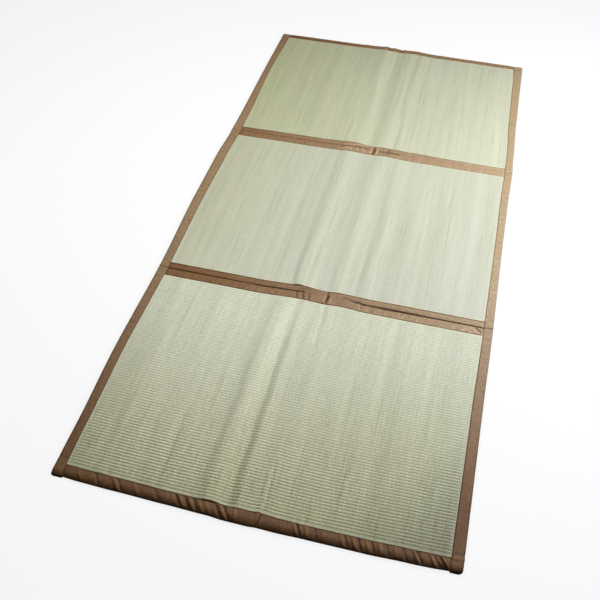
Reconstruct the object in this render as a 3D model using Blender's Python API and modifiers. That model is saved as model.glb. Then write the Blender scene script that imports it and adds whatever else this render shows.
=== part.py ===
# Three-panel folding tatami mat, lying open and flat on a floor.
#
# Three padded rush panels lie in a row along +Y, the near one first. A cloth strip covers the fold between
# each pair, an end binding wraps the near and the far edge, and a side binding wraps each long edge and laps
# over the ends of the strips and of the end bindings. Units are metres, +X is the mat's width, +Z is up, and
# the origin is on the floor under the middle of the mat's outline.
#
# Every piece is first laid out on straight seam lines. Two rules then set it as the cloth lies: warp() moves
# it in plan, so that seams and rims wander a few millimetres, and lift() raises the top along the soft
# lengthwise creases of a mat that was also folded in half.

from collections import namedtuple
import math

import bmesh
import bpy
from mathutils import Vector

# Plan sizes, before the seams wander
FIELD_HALF_WIDTH = 0.425        # rush between the two side bindings, halved
SIDE_BINDING = 0.026            # visible width of a side binding
NEAR_BINDING = 0.028
FAR_BINDING = 0.026
NEAR_FIELD = 0.6035             # rush that shows on each panel, along Y
NEAR_STRIP = 0.0495             # cloth strip over the fold between the near and the middle panel
MIDDLE_FIELD = 0.6085
FAR_STRIP = 0.0465              # cloth strip over the fold between the middle and the far panel
FAR_FIELD = 0.588
NEAR_RIM_Y = -0.973             # outer line of the near binding
FOLD_SHARE = 0.56               # how far across its strip a fold lies, from the near side

# Thicknesses
MAT_THICKNESS = 0.012
CLOTH = 0.0012                  # binding cloth, its raw edge turned under
GAP = 0.0004                    # air between one piece and the next
SEAM_SINK = 0.0006              # the stitched edge of the cloth lies this far below the rush
LAYER = CLOTH + GAP

# Edges and folds
RIM_ROUND = 0.0065              # how far in from the rim the binding starts to turn down
SIDE_SETBACK = 0.0042           # from a side binding's rim to the padding inside it
END_SETBACK = 0.0066            # the same at an end binding, whose rim draws in at both corners
CORE_ROUND = 0.0030
CORE_LEAST = 0.0006             # the padding is never thinner than this, even at a fold's outer corner
STEP_RUN = 0.0006               # run of the small step where a panel thins under the cloth
FOLD_CLEARANCE = 0.0008         # from a fold line to the padding on each side of it
FOLD_ROUND = 0.0011             # the padding's edge at a fold drops this much more than the cloth does
FOLD_WIDEN = 0.0022             # and over a valley with this much more half width
TUCK_START = 0.0065             # a covered cloth end starts to dip this far before the side seam
TUCK_END = 0.0008
TUCK_REACH = 0.012              # how far a covered end runs on under the side binding
TUCK_DRAW = 0.003               # an end binding's rim draws in this far where it is tucked
CORE_TUCK_START = 0.0090
CORE_TUCK_END = 0.0072
END_ROUND = 0.007               # length of a side binding's drawn-in end
END_CLOSE = 0.6                 # 0 leaves that end full height, 1 closes it
CREASE_IN_SIDE = 0.0010         # dent across a side binding at each fold

NEAR_SEAM_Y = NEAR_RIM_Y + NEAR_BINDING
NEAR_STRIP_LOW = NEAR_SEAM_Y + NEAR_FIELD
NEAR_STRIP_HIGH = NEAR_STRIP_LOW + NEAR_STRIP
FAR_STRIP_LOW = NEAR_STRIP_HIGH + MIDDLE_FIELD
FAR_STRIP_HIGH = FAR_STRIP_LOW + FAR_STRIP
FAR_SEAM_Y = FAR_STRIP_HIGH + FAR_FIELD
FAR_RIM_Y = FAR_SEAM_Y + FAR_BINDING
SIDE_RIM_X = FIELD_HALF_WIDTH + SIDE_BINDING

Fold = namedtuple("Fold", "y depth half_width")
NEAR_FOLD = Fold(y=NEAR_STRIP_LOW + FOLD_SHARE * NEAR_STRIP, depth=0.0036, half_width=0.0028)
FAR_FOLD = Fold(y=FAR_STRIP_LOW + FOLD_SHARE * FAR_STRIP, depth=0.0024, half_width=0.0035)

# How far each seam and rim wanders outwards from its straight line. "at" is the place along the line.
EdgeRow = namedtuple("EdgeRow", "at seam rim")
LEFT_EDGE = [
    EdgeRow(-0.973, -0.0070, -0.0065),
    EdgeRow(-0.850, -0.0040, -0.0055),
    EdgeRow(-0.600, 0.0010, 0.0010),
    EdgeRow(-0.320, -0.0030, -0.0020),
    EdgeRow(0.000, 0.0010, 0.0055),
    EdgeRow(0.200, -0.0010, 0.0055),
    EdgeRow(0.330, -0.0050, 0.0000),
    EdgeRow(0.430, -0.0050, -0.0010),
    EdgeRow(0.720, 0.0020, 0.0000),
    EdgeRow(0.977, -0.0040, -0.0010),
]
RIGHT_EDGE = [
    EdgeRow(-0.973, 0.0015, 0.0025),
    EdgeRow(-0.600, 0.0030, 0.0025),
    EdgeRow(-0.320, 0.0060, 0.0040),
    EdgeRow(0.000, 0.0070, 0.0025),
    EdgeRow(0.200, 0.0060, 0.0030),
    EdgeRow(0.3425, 0.0075, 0.0055),
    EdgeRow(0.430, 0.0070, 0.0030),
    EdgeRow(0.620, 0.0000, -0.0010),
    EdgeRow(0.850, -0.0040, -0.0025),
    EdgeRow(0.977, -0.0080, -0.0030),
]
NEAR_EDGE = [
    EdgeRow(-0.430, 0.0000, 0.0000),
    EdgeRow(-0.300, 0.0025, 0.0022),
    EdgeRow(-0.180, 0.0045, 0.0040),
    EdgeRow(-0.090, 0.0052, 0.0055),
    EdgeRow(-0.050, 0.0052, 0.0080),
    EdgeRow(0.000, 0.0050, 0.0080),
    EdgeRow(0.020, 0.0035, 0.0065),
    EdgeRow(0.060, 0.0068, 0.0070),
    EdgeRow(0.130, 0.0068, 0.0055),
    EdgeRow(0.250, 0.0050, 0.0045),
    EdgeRow(0.340, 0.0025, 0.0015),
    EdgeRow(0.430, 0.0000, -0.0015),
]
FAR_EDGE = [
    EdgeRow(-0.430, 0.0030, 0.0030),
    EdgeRow(-0.180, 0.0032, 0.0034),
    EdgeRow(-0.050, 0.0034, 0.0040),
    EdgeRow(0.020, 0.0020, 0.0024),
    EdgeRow(0.130, 0.0004, 0.0004),
    EdgeRow(0.250, -0.0015, -0.0015),
    EdgeRow(0.430, -0.0030, -0.0030),
]

# How far the two long edges of each fold strip wander along +Y
StripRow = namedtuple("StripRow", "at near_low near_high far_low far_high")
STRIPS = [
    StripRow(-0.430, -0.0010, -0.0015, -0.0020, -0.0010),
    StripRow(-0.180, 0.0000, -0.0010, 0.0005, 0.0030),
    StripRow(-0.050, 0.0025, 0.0005, 0.0005, 0.0035),
    StripRow(0.020, 0.0025, 0.0000, 0.0030, -0.0010),
    StripRow(0.130, 0.0015, 0.0005, 0.0020, 0.0010),
    StripRow(0.250, 0.0010, 0.0010, 0.0015, -0.0030),
    StripRow(0.430, 0.0015, 0.0005, 0.0015, -0.0045),
]

# Lengthwise creases: the height of the top across the width, and its share along the length
CreaseRow = namedtuple("CreaseRow", "at height")
CREASES = [
    CreaseRow(-0.160, 0.0000),
    CreaseRow(-0.100, 0.0010),
    CreaseRow(-0.050, 0.0022),
    CreaseRow(0.012, 0.0006),
    CreaseRow(0.060, 0.0020),
    CreaseRow(0.130, 0.0000),
]
ShareRow = namedtuple("ShareRow", "at share")
CREASE_SHARES = [
    ShareRow(-0.973, 0.6),
    ShareRow(-0.800, 0.8),
    ShareRow(-0.420, 0.8),
    ShareRow(-0.320, 2.2),
    ShareRow(-0.220, 0.8),
    ShareRow(0.230, 0.8),
    ShareRow(0.335, 2.2),
    ShareRow(0.440, 1.0),
    ShareRow(0.977, 1.5),
]

# Lines that cut the pieces across the width and along the length, closer where the mat is creased
CREASED_ZONE_LINES = [-0.160, -0.130, -0.100, -0.075, -0.050, -0.020, 0.012, 0.036, 0.060, 0.095, 0.130]
PLAIN_ZONE_LINES = [-0.360, -0.260, 0.190, 0.270, 0.360]
LENGTH_LINES = [
    -0.850, -0.720, -0.600, -0.480, -0.390, -0.250, -0.130, 0.000, 0.120, 0.240,
    0.400, 0.500, 0.620, 0.720, 0.850,
]

RUSH_COLOUR = (0.55, 0.58, 0.37)
CLOTH_COLOUR = (0.27, 0.15, 0.08)


def clamp(share):
    return min(max(share, 0.0), 1.0)


def ease(share):
    share = clamp(share)
    return share * share * (3.0 - 2.0 * share)


def read_table(rows, at, column):
    """The value of a column at a place, running smoothly from row to row."""
    if at <= rows[0].at:
        return getattr(rows[0], column)
    for low, high in zip(rows, rows[1:]):
        if at <= high.at:
            share = ease((at - low.at) / (high.at - low.at))
            start = getattr(low, column)
            return start + share * (getattr(high, column) - start)
    return getattr(rows[-1], column)


def between(knots, at):
    """Straight interpolation through (place, value) knots, level past both ends."""
    if at <= knots[0][0]:
        return knots[0][1]
    for (low, start), (high, end) in zip(knots, knots[1:]):
        if at <= high:
            return start + (end - start) * (at - low) / (high - low)
    return knots[-1][1]


def warp(x, y):
    """Plan position of a point of the straight layout once the seams have wandered."""
    shift_x = between([
        (-SIDE_RIM_X, -read_table(LEFT_EDGE, y, "rim")),
        (-FIELD_HALF_WIDTH, -read_table(LEFT_EDGE, y, "seam")),
        (FIELD_HALF_WIDTH, read_table(RIGHT_EDGE, y, "seam")),
        (SIDE_RIM_X, read_table(RIGHT_EDGE, y, "rim")),
    ], x)
    shift_y = between([
        (NEAR_RIM_Y, -read_table(NEAR_EDGE, x, "rim")),
        (NEAR_SEAM_Y, -read_table(NEAR_EDGE, x, "seam")),
        (NEAR_STRIP_LOW, read_table(STRIPS, x, "near_low")),
        (NEAR_STRIP_HIGH, read_table(STRIPS, x, "near_high")),
        (FAR_STRIP_LOW, read_table(STRIPS, x, "far_low")),
        (FAR_STRIP_HIGH, read_table(STRIPS, x, "far_high")),
        (FAR_SEAM_Y, read_table(FAR_EDGE, x, "seam")),
        (FAR_RIM_Y, read_table(FAR_EDGE, x, "rim")),
    ], y)
    return x + shift_x, y + shift_y


def lift(x, y):
    """Height that the lengthwise creases add to the top of the mat."""
    return read_table(CREASES, x, "height") * read_table(CREASE_SHARES, y, "share")


def groove(fold, y, extra_depth=0.0, extra_width=0.0):
    """Depth of the valley along a fold, a soft bell across the fold line."""
    offset = (y - fold.y) / (fold.half_width + extra_width)
    return (fold.depth + extra_depth) * math.exp(-offset * offset)


def rounding(distance, radius):
    """How far an edge has turned down at a distance in from its end."""
    short = min(max(radius - distance, 0.0), radius)
    return radius - math.sqrt(radius * radius - short * short)


def set_as_it_lies(mesh_data):
    """Moves each vertex from the straight layout to where the lying mat has it."""
    for vertex in mesh_data.verts:
        rise = lift(vertex.co.x, vertex.co.y) * clamp(vertex.co.z / MAT_THICKNESS)
        x, y = warp(vertex.co.x, vertex.co.y)
        vertex.co = Vector((x, y, vertex.co.z + rise))


def finish(name, mesh_data, collection, material):
    """Sets a piece as it lies and makes its object."""
    set_as_it_lies(mesh_data)
    mesh = bpy.data.meshes.new(name)
    mesh_data.to_mesh(mesh)
    mesh_data.free()
    mesh.materials.append(material)
    mesh.shade_smooth()
    mesh.set_sharp_from_angle(angle=math.radians(40.0))
    item = bpy.data.objects.new(name, mesh)
    collection.objects.link(item)
    return item


def thicken(item):
    """Gives an open cloth surface its thickness, on its inner side."""
    solidify = item.modifiers.new("cloth thickness", "SOLIDIFY")
    solidify.thickness = CLOTH
    solidify.offset = -1.0
    solidify.use_even_offset = True


def cross_lines(inner_limit, outer_lines):
    """All cutting lines across the width up to a limit, with a piece's own lines at both ends."""
    lines = [x for x in CREASED_ZONE_LINES + PLAIN_ZONE_LINES if abs(x) < inner_limit]
    for x in outer_lines:
        lines.extend([-x, x])
    return sorted(lines)


def merge_flat_underside(block):
    """Joins the level faces of the underside, which needs no creases, into a few large ones."""
    block.normal_update()
    level = [face for face in block.faces if face.normal.z < -0.9999]
    edges = {edge for face in level for edge in face.edges if all(item in level for item in edge.link_faces)}
    bmesh.ops.dissolve_limit(block, angle_limit=0.001, verts=[], edges=list(edges))


def make_panel(name, collection, material, low, high):
    """One padded rush panel. Each end is ("rim", seam y, rim y) or ("fold", seam y, fold)."""
    core_edge = SIDE_RIM_X - SIDE_SETBACK
    width_lines = cross_lines(FIELD_HALF_WIDTH - CORE_TUCK_START, [
        FIELD_HALF_WIDTH - CORE_TUCK_START,
        FIELD_HALF_WIDTH - CORE_TUCK_END,
        FIELD_HALF_WIDTH - STEP_RUN,
        FIELD_HALF_WIDTH,
        core_edge - CORE_ROUND,
        core_edge - 0.3 * CORE_ROUND,
        core_edge,
    ])
    length_lines = []
    ends = []
    for (kind, seam_y, edge), inward in ((low, 1.0), (high, -1.0)):
        if kind == "rim":
            core_end = edge + inward * END_SETBACK
            offsets = [0.0, 0.3 * CORE_ROUND, CORE_ROUND]
        else:
            core_end = edge.y + inward * FOLD_CLEARANCE
            offsets = [0.0, 0.0025, 0.0055, 0.0100]
        length_lines.extend(core_end + inward * offset for offset in offsets)
        length_lines.extend([seam_y, seam_y + inward * STEP_RUN])
        ends.append((kind, seam_y, edge, core_end, inward))
    first, last = ends[0][1], ends[1][1]
    length_lines.extend(y for y in LENGTH_LINES if first + 0.01 < y < last - 0.01)
    length_lines.sort()

    def heights(x, y):
        """Top and bottom of the panel: it gives way to the cloth round it, and its outer edge is rounded."""
        side_step = clamp((abs(x) - FIELD_HALF_WIDTH) / STEP_RUN + 1.0)
        tuck = clamp((abs(x) - FIELD_HALF_WIDTH + CORE_TUCK_START) / (CORE_TUCK_START - CORE_TUCK_END))
        under_cloth = side_step
        top_layers = side_step
        bottom_layers = side_step
        valley = 0.0
        turned = rounding(core_edge - abs(x), CORE_ROUND)
        for kind, seam_y, edge, core_end, inward in ends:
            end_step = clamp((seam_y - y) * inward / STEP_RUN + 1.0)
            under_cloth = max(under_cloth, end_step)
            top_layers = max(top_layers, end_step * (1.0 + tuck))
            if kind == "rim":
                bottom_layers = max(bottom_layers, end_step * (1.0 + tuck))
                turned = max(turned, rounding((y - core_end) * inward, CORE_ROUND))
            else:
                valley += groove(edge, y, FOLD_ROUND, FOLD_WIDEN)
        top = MAT_THICKNESS - under_cloth * SEAM_SINK - top_layers * LAYER - valley
        bottom = bottom_layers * LAYER
        turned = min(turned, (top - bottom - CORE_LEAST) / 2.0)
        return top - turned, bottom + turned

    block = bmesh.new()
    bmesh.ops.create_cube(block, size=1.0)
    size = (width_lines[-1] - width_lines[0], length_lines[-1] - length_lines[0], MAT_THICKNESS)
    bmesh.ops.scale(block, vec=size, verts=block.verts)
    middle = (0.0, (length_lines[0] + length_lines[-1]) / 2.0, MAT_THICKNESS / 2.0)
    bmesh.ops.translate(block, vec=middle, verts=block.verts)
    for lines, normal in ((width_lines, Vector((1.0, 0.0, 0.0))), (length_lines, Vector((0.0, 1.0, 0.0)))):
        for place in lines[1:-1]:
            everything = block.verts[:] + block.edges[:] + block.faces[:]
            bmesh.ops.bisect_plane(block, geom=everything, dist=1e-7, plane_co=normal * place, plane_no=normal)
    for vertex in block.verts:
        top, bottom = heights(vertex.co.x, vertex.co.y)
        vertex.co.z = top if vertex.co.z > MAT_THICKNESS / 2.0 else bottom
    merge_flat_underside(block)
    finish(name, block, collection, material)


def binding_section(width):
    """Outer face of a binding as (distance out from its seam, height) points, from top edge to bottom edge."""
    crown = MAT_THICKNESS - 0.0002
    middle = crown / 2.0
    points = [(GAP, MAT_THICKNESS - SEAM_SINK), (0.38 * width, crown)]
    for degrees in (90, 58, 22, -22, -58, -90):
        angle = math.radians(degrees)
        out = width - RIM_ROUND + RIM_ROUND * math.cos(angle)
        points.append((out, middle + middle * math.sin(angle)))
    points.append((GAP, 0.0))
    return points


def cloth_grid(stations, section_at):
    """An open cloth surface: at each station a row of points, joined to the next row."""
    first_row = section_at(stations[0])
    surface = bmesh.new()
    bmesh.ops.create_grid(surface, x_segments=len(stations) - 1, y_segments=len(first_row) - 1, size=0.5)
    columns = sorted({round(vertex.co.x, 5) for vertex in surface.verts})
    rows = sorted({round(vertex.co.y, 5) for vertex in surface.verts})
    sections = [section_at(station) for station in stations]
    for vertex in surface.verts:
        column = columns.index(round(vertex.co.x, 5))
        row = rows.index(round(vertex.co.y, 5))
        vertex.co = Vector(sections[column][row])
    return surface


def face_outwards(surface, inside):
    """Turns the whole cloth surface so that its faces look away from a point inside the fold of the cloth."""
    bmesh.ops.recalc_face_normals(surface, faces=surface.faces)
    surface.normal_update()
    face = max(surface.faces, key=lambda item: item.calc_center_median().z)
    if face.normal.dot(face.calc_center_median() - inside) < 0.0:
        bmesh.ops.reverse_faces(surface, faces=surface.faces)


def make_side_binding(name, collection, material, side):
    """The tape along one long edge, with both its ends drawn in a little. side is -1 left or 1 right."""
    section = binding_section(SIDE_BINDING)
    low_end = NEAR_RIM_Y + 0.001
    high_end = FAR_RIM_Y - 0.001
    stations = [low_end + END_ROUND * share for share in (0.0, 0.35, 1.0)]
    stations += [high_end - END_ROUND * share for share in (0.0, 0.35, 1.0)]
    for fold in (NEAR_FOLD, FAR_FOLD):
        stations += [fold.y + offset for offset in (-0.012, -0.004, 0.0, 0.004, 0.012)]
    stations += [y for y in LENGTH_LINES if min(abs(y - NEAR_FOLD.y), abs(y - FAR_FOLD.y)) > 0.02]
    stations.sort()
    middle = section[1][1] / 2.0

    def section_at(y):
        to_end = min(y - low_end, high_end - y)
        short = 1.0 - min(to_end / END_ROUND, 1.0)
        closing = math.sqrt(1.0 - END_CLOSE * short * short)
        dent = 0.0
        for fold in (NEAR_FOLD, FAR_FOLD):
            dent += groove(fold, y) * CREASE_IN_SIDE / fold.depth
        row = []
        for out, height in section:
            raised = middle + (height - middle) * closing - dent * max(height / middle - 1.0, 0.0)
            row.append((side * (FIELD_HALF_WIDTH + out), y, raised))
        return row

    surface = cloth_grid(stations, section_at)
    face_outwards(surface, Vector((side * FIELD_HALF_WIDTH, 0.0, middle)))
    item = finish(name, surface, collection, material)
    thicken(item)


def make_end_binding(name, collection, material, seam_y, rim_y):
    """The tape along the near or the far edge. Its two ends are tucked in under the side bindings."""
    width = abs(rim_y - seam_y)
    outward = math.copysign(1.0, rim_y - seam_y)
    section = binding_section(width)
    stations = cross_lines(FIELD_HALF_WIDTH - 0.02, [
        FIELD_HALF_WIDTH - 0.02,
        FIELD_HALF_WIDTH - TUCK_START,
        FIELD_HALF_WIDTH - 0.6 * TUCK_START,
        FIELD_HALF_WIDTH - TUCK_END,
        FIELD_HALF_WIDTH + TUCK_REACH,
    ])
    middle = section[1][1] / 2.0

    def section_at(x):
        tuck = ease((abs(x) - FIELD_HALF_WIDTH + TUCK_START) / (TUCK_START - TUCK_END))
        row = []
        for out, height in section:
            reach = GAP + (out - GAP) * (1.0 - tuck * TUCK_DRAW / (width - GAP))
            raised = height - tuck * LAYER * (height - middle) / middle
            row.append((x, seam_y + outward * reach, raised))
        return row

    surface = cloth_grid(stations, section_at)
    face_outwards(surface, Vector((0.0, seam_y, middle)))
    item = finish(name, surface, collection, material)
    thicken(item)


def make_fold_strip(name, collection, material, low_y, high_y, fold):
    """The cloth over one fold: level beside the rush, and dipping into the valley along the fold line."""
    stations = cross_lines(FIELD_HALF_WIDTH - 0.02, [
        FIELD_HALF_WIDTH - 0.02,
        FIELD_HALF_WIDTH - TUCK_START,
        FIELD_HALF_WIDTH - 0.6 * TUCK_START,
        FIELD_HALF_WIDTH - TUCK_END,
        FIELD_HALF_WIDTH + TUCK_REACH,
    ])
    offsets = (-0.0100, -0.0048, -0.0020, 0.0, 0.0020, 0.0048, 0.0100)
    lines = [low_y + GAP] + [fold.y + offset for offset in offsets] + [high_y - GAP]

    def section_at(x):
        tuck = ease((abs(x) - FIELD_HALF_WIDTH + TUCK_START) / (TUCK_START - TUCK_END))
        level = MAT_THICKNESS - SEAM_SINK - tuck * LAYER
        return [(x, y, level - groove(fold, y)) for y in lines]

    surface = cloth_grid(stations, section_at)
    face_outwards(surface, Vector((0.0, fold.y, 0.0)))
    item = finish(name, surface, collection, material)
    thicken(item)


def make_material(name, colour, roughness):
    material = bpy.data.materials.new(name)
    material.use_nodes = True
    shader = material.node_tree.nodes["Principled BSDF"]
    shader.inputs["Base Color"].default_value = (*colour, 1.0)
    shader.inputs["Roughness"].default_value = roughness
    shader.inputs["Metallic"].default_value = 0.0
    return material


def main():
    for item in list(bpy.data.objects):
        bpy.data.objects.remove(item, do_unlink=True)
    mat = bpy.data.collections.new("tatami_mat")
    bpy.context.scene.collection.children.link(mat)

    near_rim = ("rim", NEAR_SEAM_Y, NEAR_RIM_Y)
    far_rim = ("rim", FAR_SEAM_Y, FAR_RIM_Y)
    panels = (
        ("panel_near", near_rim, ("fold", NEAR_STRIP_LOW, NEAR_FOLD)),
        ("panel_middle", ("fold", NEAR_STRIP_HIGH, NEAR_FOLD), ("fold", FAR_STRIP_LOW, FAR_FOLD)),
        ("panel_far", ("fold", FAR_STRIP_HIGH, FAR_FOLD), far_rim),
    )
    for name, low, high in panels:
        make_panel(name, mat, make_material(name + "_rush", RUSH_COLOUR, 0.6), low, high)

    cloth = {"roughness": 0.8, "colour": CLOTH_COLOUR}
    for name, low_y, high_y, fold in (
        ("fold_strip_near", NEAR_STRIP_LOW, NEAR_STRIP_HIGH, NEAR_FOLD),
        ("fold_strip_far", FAR_STRIP_LOW, FAR_STRIP_HIGH, FAR_FOLD),
    ):
        make_fold_strip(name, mat, make_material(name + "_cloth", **cloth), low_y, high_y, fold)
    for name, seam_y, rim_y in (
        ("binding_near", NEAR_SEAM_Y, NEAR_RIM_Y),
        ("binding_far", FAR_SEAM_Y, FAR_RIM_Y),
    ):
        make_end_binding(name, mat, make_material(name + "_cloth", **cloth), seam_y, rim_y)
    for name, side in (("binding_left", -1.0), ("binding_right", 1.0)):
        make_side_binding(name, mat, make_material(name + "_cloth", **cloth), side)


main()
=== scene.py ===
import math

import bpy
import numpy as np
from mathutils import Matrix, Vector
from mathutils.bvhtree import BVHTree


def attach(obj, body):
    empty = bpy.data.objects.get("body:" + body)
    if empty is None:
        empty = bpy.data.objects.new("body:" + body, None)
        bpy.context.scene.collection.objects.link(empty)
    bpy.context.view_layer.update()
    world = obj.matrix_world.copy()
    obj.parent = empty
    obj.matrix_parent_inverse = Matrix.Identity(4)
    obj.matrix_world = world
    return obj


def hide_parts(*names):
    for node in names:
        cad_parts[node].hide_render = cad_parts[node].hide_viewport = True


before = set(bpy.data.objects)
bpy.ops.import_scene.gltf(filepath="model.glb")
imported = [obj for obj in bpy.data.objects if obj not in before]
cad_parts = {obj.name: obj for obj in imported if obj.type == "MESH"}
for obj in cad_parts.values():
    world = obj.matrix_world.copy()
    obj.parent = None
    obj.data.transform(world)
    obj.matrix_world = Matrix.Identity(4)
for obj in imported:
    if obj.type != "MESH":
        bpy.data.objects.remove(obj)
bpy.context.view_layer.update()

# A folding tatami mat of three rush panels, lying open on a pale studio floor. All sizes are in metres.
# Every piece is laid out on straight seam lines, then laid as the mat lies: its seams wander a little and
# its top follows the soft lengthwise creases.

# The mat's plan and thickness, as the frame has them
mat = {
    "fieldHalfWidth": 0.425,
    "sideBinding": 0.026,
    "nearRim": -0.973,
    "nearSeam": -0.945,
    "nearStrip": (-0.3415, -0.2920),
    "farStrip": (0.3165, 0.3630),
    "farSeam": 0.951,
    "farRim": 0.977,
    "nearFold": -0.31378,
    "farFold": 0.34254,
    "thickness": 0.012,
    "cloth": 0.0012,            # the room that each layer of cloth takes, and how much of it the cloth fills
    "clothShare": 0.75,
    "gap": 0.0004,
    "seamSink": 0.0006,
    "rimRound": 0.0065,
}
sideRim = mat["fieldHalfWidth"] + mat["sideBinding"]
layer = mat["cloth"] + mat["gap"]

# How far each seam and rim wanders outwards: place along it, seam, rim
leftEdge = [
    (-0.973, -0.0070, -0.0065), (-0.850, -0.0040, -0.0055), (-0.600, 0.0010, 0.0010),
    (-0.320, -0.0030, -0.0020), (0.000, 0.0010, 0.0055), (0.200, -0.0010, 0.0055),
    (0.330, -0.0050, 0.0000), (0.430, -0.0050, -0.0010), (0.720, 0.0020, 0.0000),
    (0.977, -0.0040, -0.0010),
]
rightEdge = [
    (-0.973, 0.0015, 0.0025), (-0.600, 0.0030, 0.0025), (-0.320, 0.0060, 0.0040),
    (0.000, 0.0070, 0.0025), (0.200, 0.0060, 0.0030), (0.3425, 0.0075, 0.0055),
    (0.430, 0.0070, 0.0030), (0.620, 0.0000, -0.0010), (0.850, -0.0040, -0.0025),
    (0.977, -0.0080, -0.0030),
]
nearEdge = [
    (-0.430, 0.0000, 0.0000), (-0.300, 0.0025, 0.0022), (-0.180, 0.0045, 0.0040),
    (-0.090, 0.0052, 0.0055), (-0.050, 0.0052, 0.0080), (0.000, 0.0050, 0.0080),
    (0.020, 0.0035, 0.0065), (0.060, 0.0068, 0.0070), (0.130, 0.0068, 0.0055),
    (0.250, 0.0050, 0.0045), (0.340, 0.0025, 0.0015), (0.430, 0.0000, -0.0015),
]
farEdge = [
    (-0.430, 0.0030, 0.0030), (-0.180, 0.0032, 0.0034), (-0.050, 0.0034, 0.0040),
    (0.020, 0.0020, 0.0024), (0.130, 0.0004, 0.0004), (0.250, -0.0015, -0.0015),
    (0.430, -0.0030, -0.0030),
]
# Both long edges of each fold strip along +Y: place, near strip low and high, far strip low and high
stripEdges = [
    (-0.430, -0.0010, -0.0015, -0.0020, -0.0010), (-0.180, 0.0000, -0.0010, 0.0005, 0.0030),
    (-0.050, 0.0025, 0.0005, 0.0005, 0.0035), (0.020, 0.0025, 0.0000, 0.0030, -0.0010),
    (0.130, 0.0015, 0.0005, 0.0020, 0.0010), (0.250, 0.0010, 0.0010, 0.0015, -0.0030),
    (0.430, 0.0015, 0.0005, 0.0015, -0.0045),
]
# Soft rise of the top across the width, and its share along the length
riseAcross = [
    (-0.160, 0.0000), (-0.100, 0.0010), (-0.050, 0.0022), (0.012, 0.0006), (0.060, 0.0020), (0.130, 0.0000),
]
riseAlong = [
    (-0.973, 0.6), (-0.800, 0.8), (-0.420, 0.8), (-0.320, 2.2), (-0.220, 0.8), (0.230, 0.8),
    (0.335, 2.2), (0.440, 1.0), (0.977, 1.5),
]


def soften(share):
    share = np.clip(share, 0.0, 1.0)
    return share * share * (3.0 - 2.0 * share)


def readRows(rows, at, column):
    # a column's value at each place, running softly from row to row
    places = np.array([row[0] for row in rows])
    values = np.array([row[column] for row in rows])
    at = np.clip(at, places[0], places[-1])
    low = np.clip(np.searchsorted(places, at, side="right") - 1, 0, len(places) - 2)
    share = soften((at - places[low]) / (places[low + 1] - places[low]))
    return values[low] + share * (values[low + 1] - values[low])


def between(knots, at):
    # straight lines through (place, values) knots, level past both ends
    result = np.where(at <= knots[0][0], knots[0][1], knots[-1][1])
    for (low, start), (high, end) in zip(knots, knots[1:]):
        share = (at - low) / (high - low)
        result = np.where((at > low) & (at <= high), start + (end - start) * share, result)
    return result


def layAsItLies(points):
    # from the straight layout to the mat as it lies
    x, y, z = points[..., 0], points[..., 1], points[..., 2]
    shiftX = between([
        (-sideRim, -readRows(leftEdge, y, 2)),
        (-mat["fieldHalfWidth"], -readRows(leftEdge, y, 1)),
        (mat["fieldHalfWidth"], readRows(rightEdge, y, 1)),
        (sideRim, readRows(rightEdge, y, 2)),
    ], x)
    shiftY = between([
        (mat["nearRim"], -readRows(nearEdge, x, 2)),
        (mat["nearSeam"], -readRows(nearEdge, x, 1)),
        (mat["nearStrip"][0], readRows(stripEdges, x, 1)),
        (mat["nearStrip"][1], readRows(stripEdges, x, 2)),
        (mat["farStrip"][0], readRows(stripEdges, x, 3)),
        (mat["farStrip"][1], readRows(stripEdges, x, 4)),
        (mat["farSeam"], readRows(farEdge, x, 1)),
        (mat["farRim"], readRows(farEdge, x, 2)),
    ], y)
    rise = readRows(riseAcross, x, 1) * readRows(riseAlong, y, 1) * np.clip(z / mat["thickness"], 0.0, 1.0)
    return np.stack([x + shiftX, y + shiftY, z + rise], axis=-1)


# A long crease never runs quite straight or even: each row is size, repeats per metre, shift
longCrease = {
    "from": 0.2,
    "bends": ((0.0022, 19.0, 40.0), (0.0012, 47.0, 90.0)),
    "uneven": (0.30, 31.0, 70.0),
}


def foldHeights(x, y, folds):
    # soft ridges, or troughs where the height is below zero. Each is start x, start y, end x,
    # end y, half width, height, share of its length that fades at each end
    total = np.zeros(np.broadcast(x, y).shape)
    for startX, startY, endX, endY, halfWidth, height, fade in folds:
        runX, runY = endX - startX, endY - startY
        length = math.hypot(runX, runY)
        along = ((x - startX) * runX + (y - startY) * runY) / length ** 2
        aside = ((x - startX) * runY - (y - startY) * runX) / length
        uneven = 1.0
        if length > longCrease["from"]:
            for size, rate, shift in longCrease["bends"]:
                aside = aside + size * np.sin(along * length * rate + startX * shift)
            size, rate, shift = longCrease["uneven"]
            uneven = 1.0 + size * np.sin(along * length * rate + startX * shift)
        ends = soften((along + fade) / fade) * soften((1.0 + fade - along) / fade)
        total += height * uneven * ends * np.exp(-(aside / halfWidth) ** 2)
    return total


gather = {
    "fineStep": 0.0006,
    "margin": 0.02,
    "stray": 0.35,              # share of the spacing that a gather strays by
    "halfWidth": (0.16, 0.30),  # shares of the spacing
    "strength": (0.1, 1.0),
    "fewStrong": 1.5,           # more than 1 makes most gathers small
    "fall": 1.5,
}


def puckers(along, across, seed, spacing, height, slant, reach):
    # small uneven gathers that the stitching draws up beside a seam
    random = np.random.default_rng(seed)
    first, last = along.min(), along.max()
    margin = gather["margin"]
    count = int((last - first) / spacing) + 2
    samples = int((last - first + 2.0 * margin) / gather["fineStep"])
    fine = np.linspace(first - margin, last + margin, samples)
    profile = np.zeros(len(fine))
    for index in range(count):
        place = first + (index + random.uniform(-gather["stray"], gather["stray"])) * spacing
        halfWidth = spacing * random.uniform(*gather["halfWidth"])
        strength = height * random.uniform(*gather["strength"]) ** gather["fewStrong"]
        profile += strength * np.exp(-((fine - place) / halfWidth) ** 2)
    return np.interp(along - slant * across, fine, profile) * np.exp(-(across / reach) ** gather["fall"])


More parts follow.
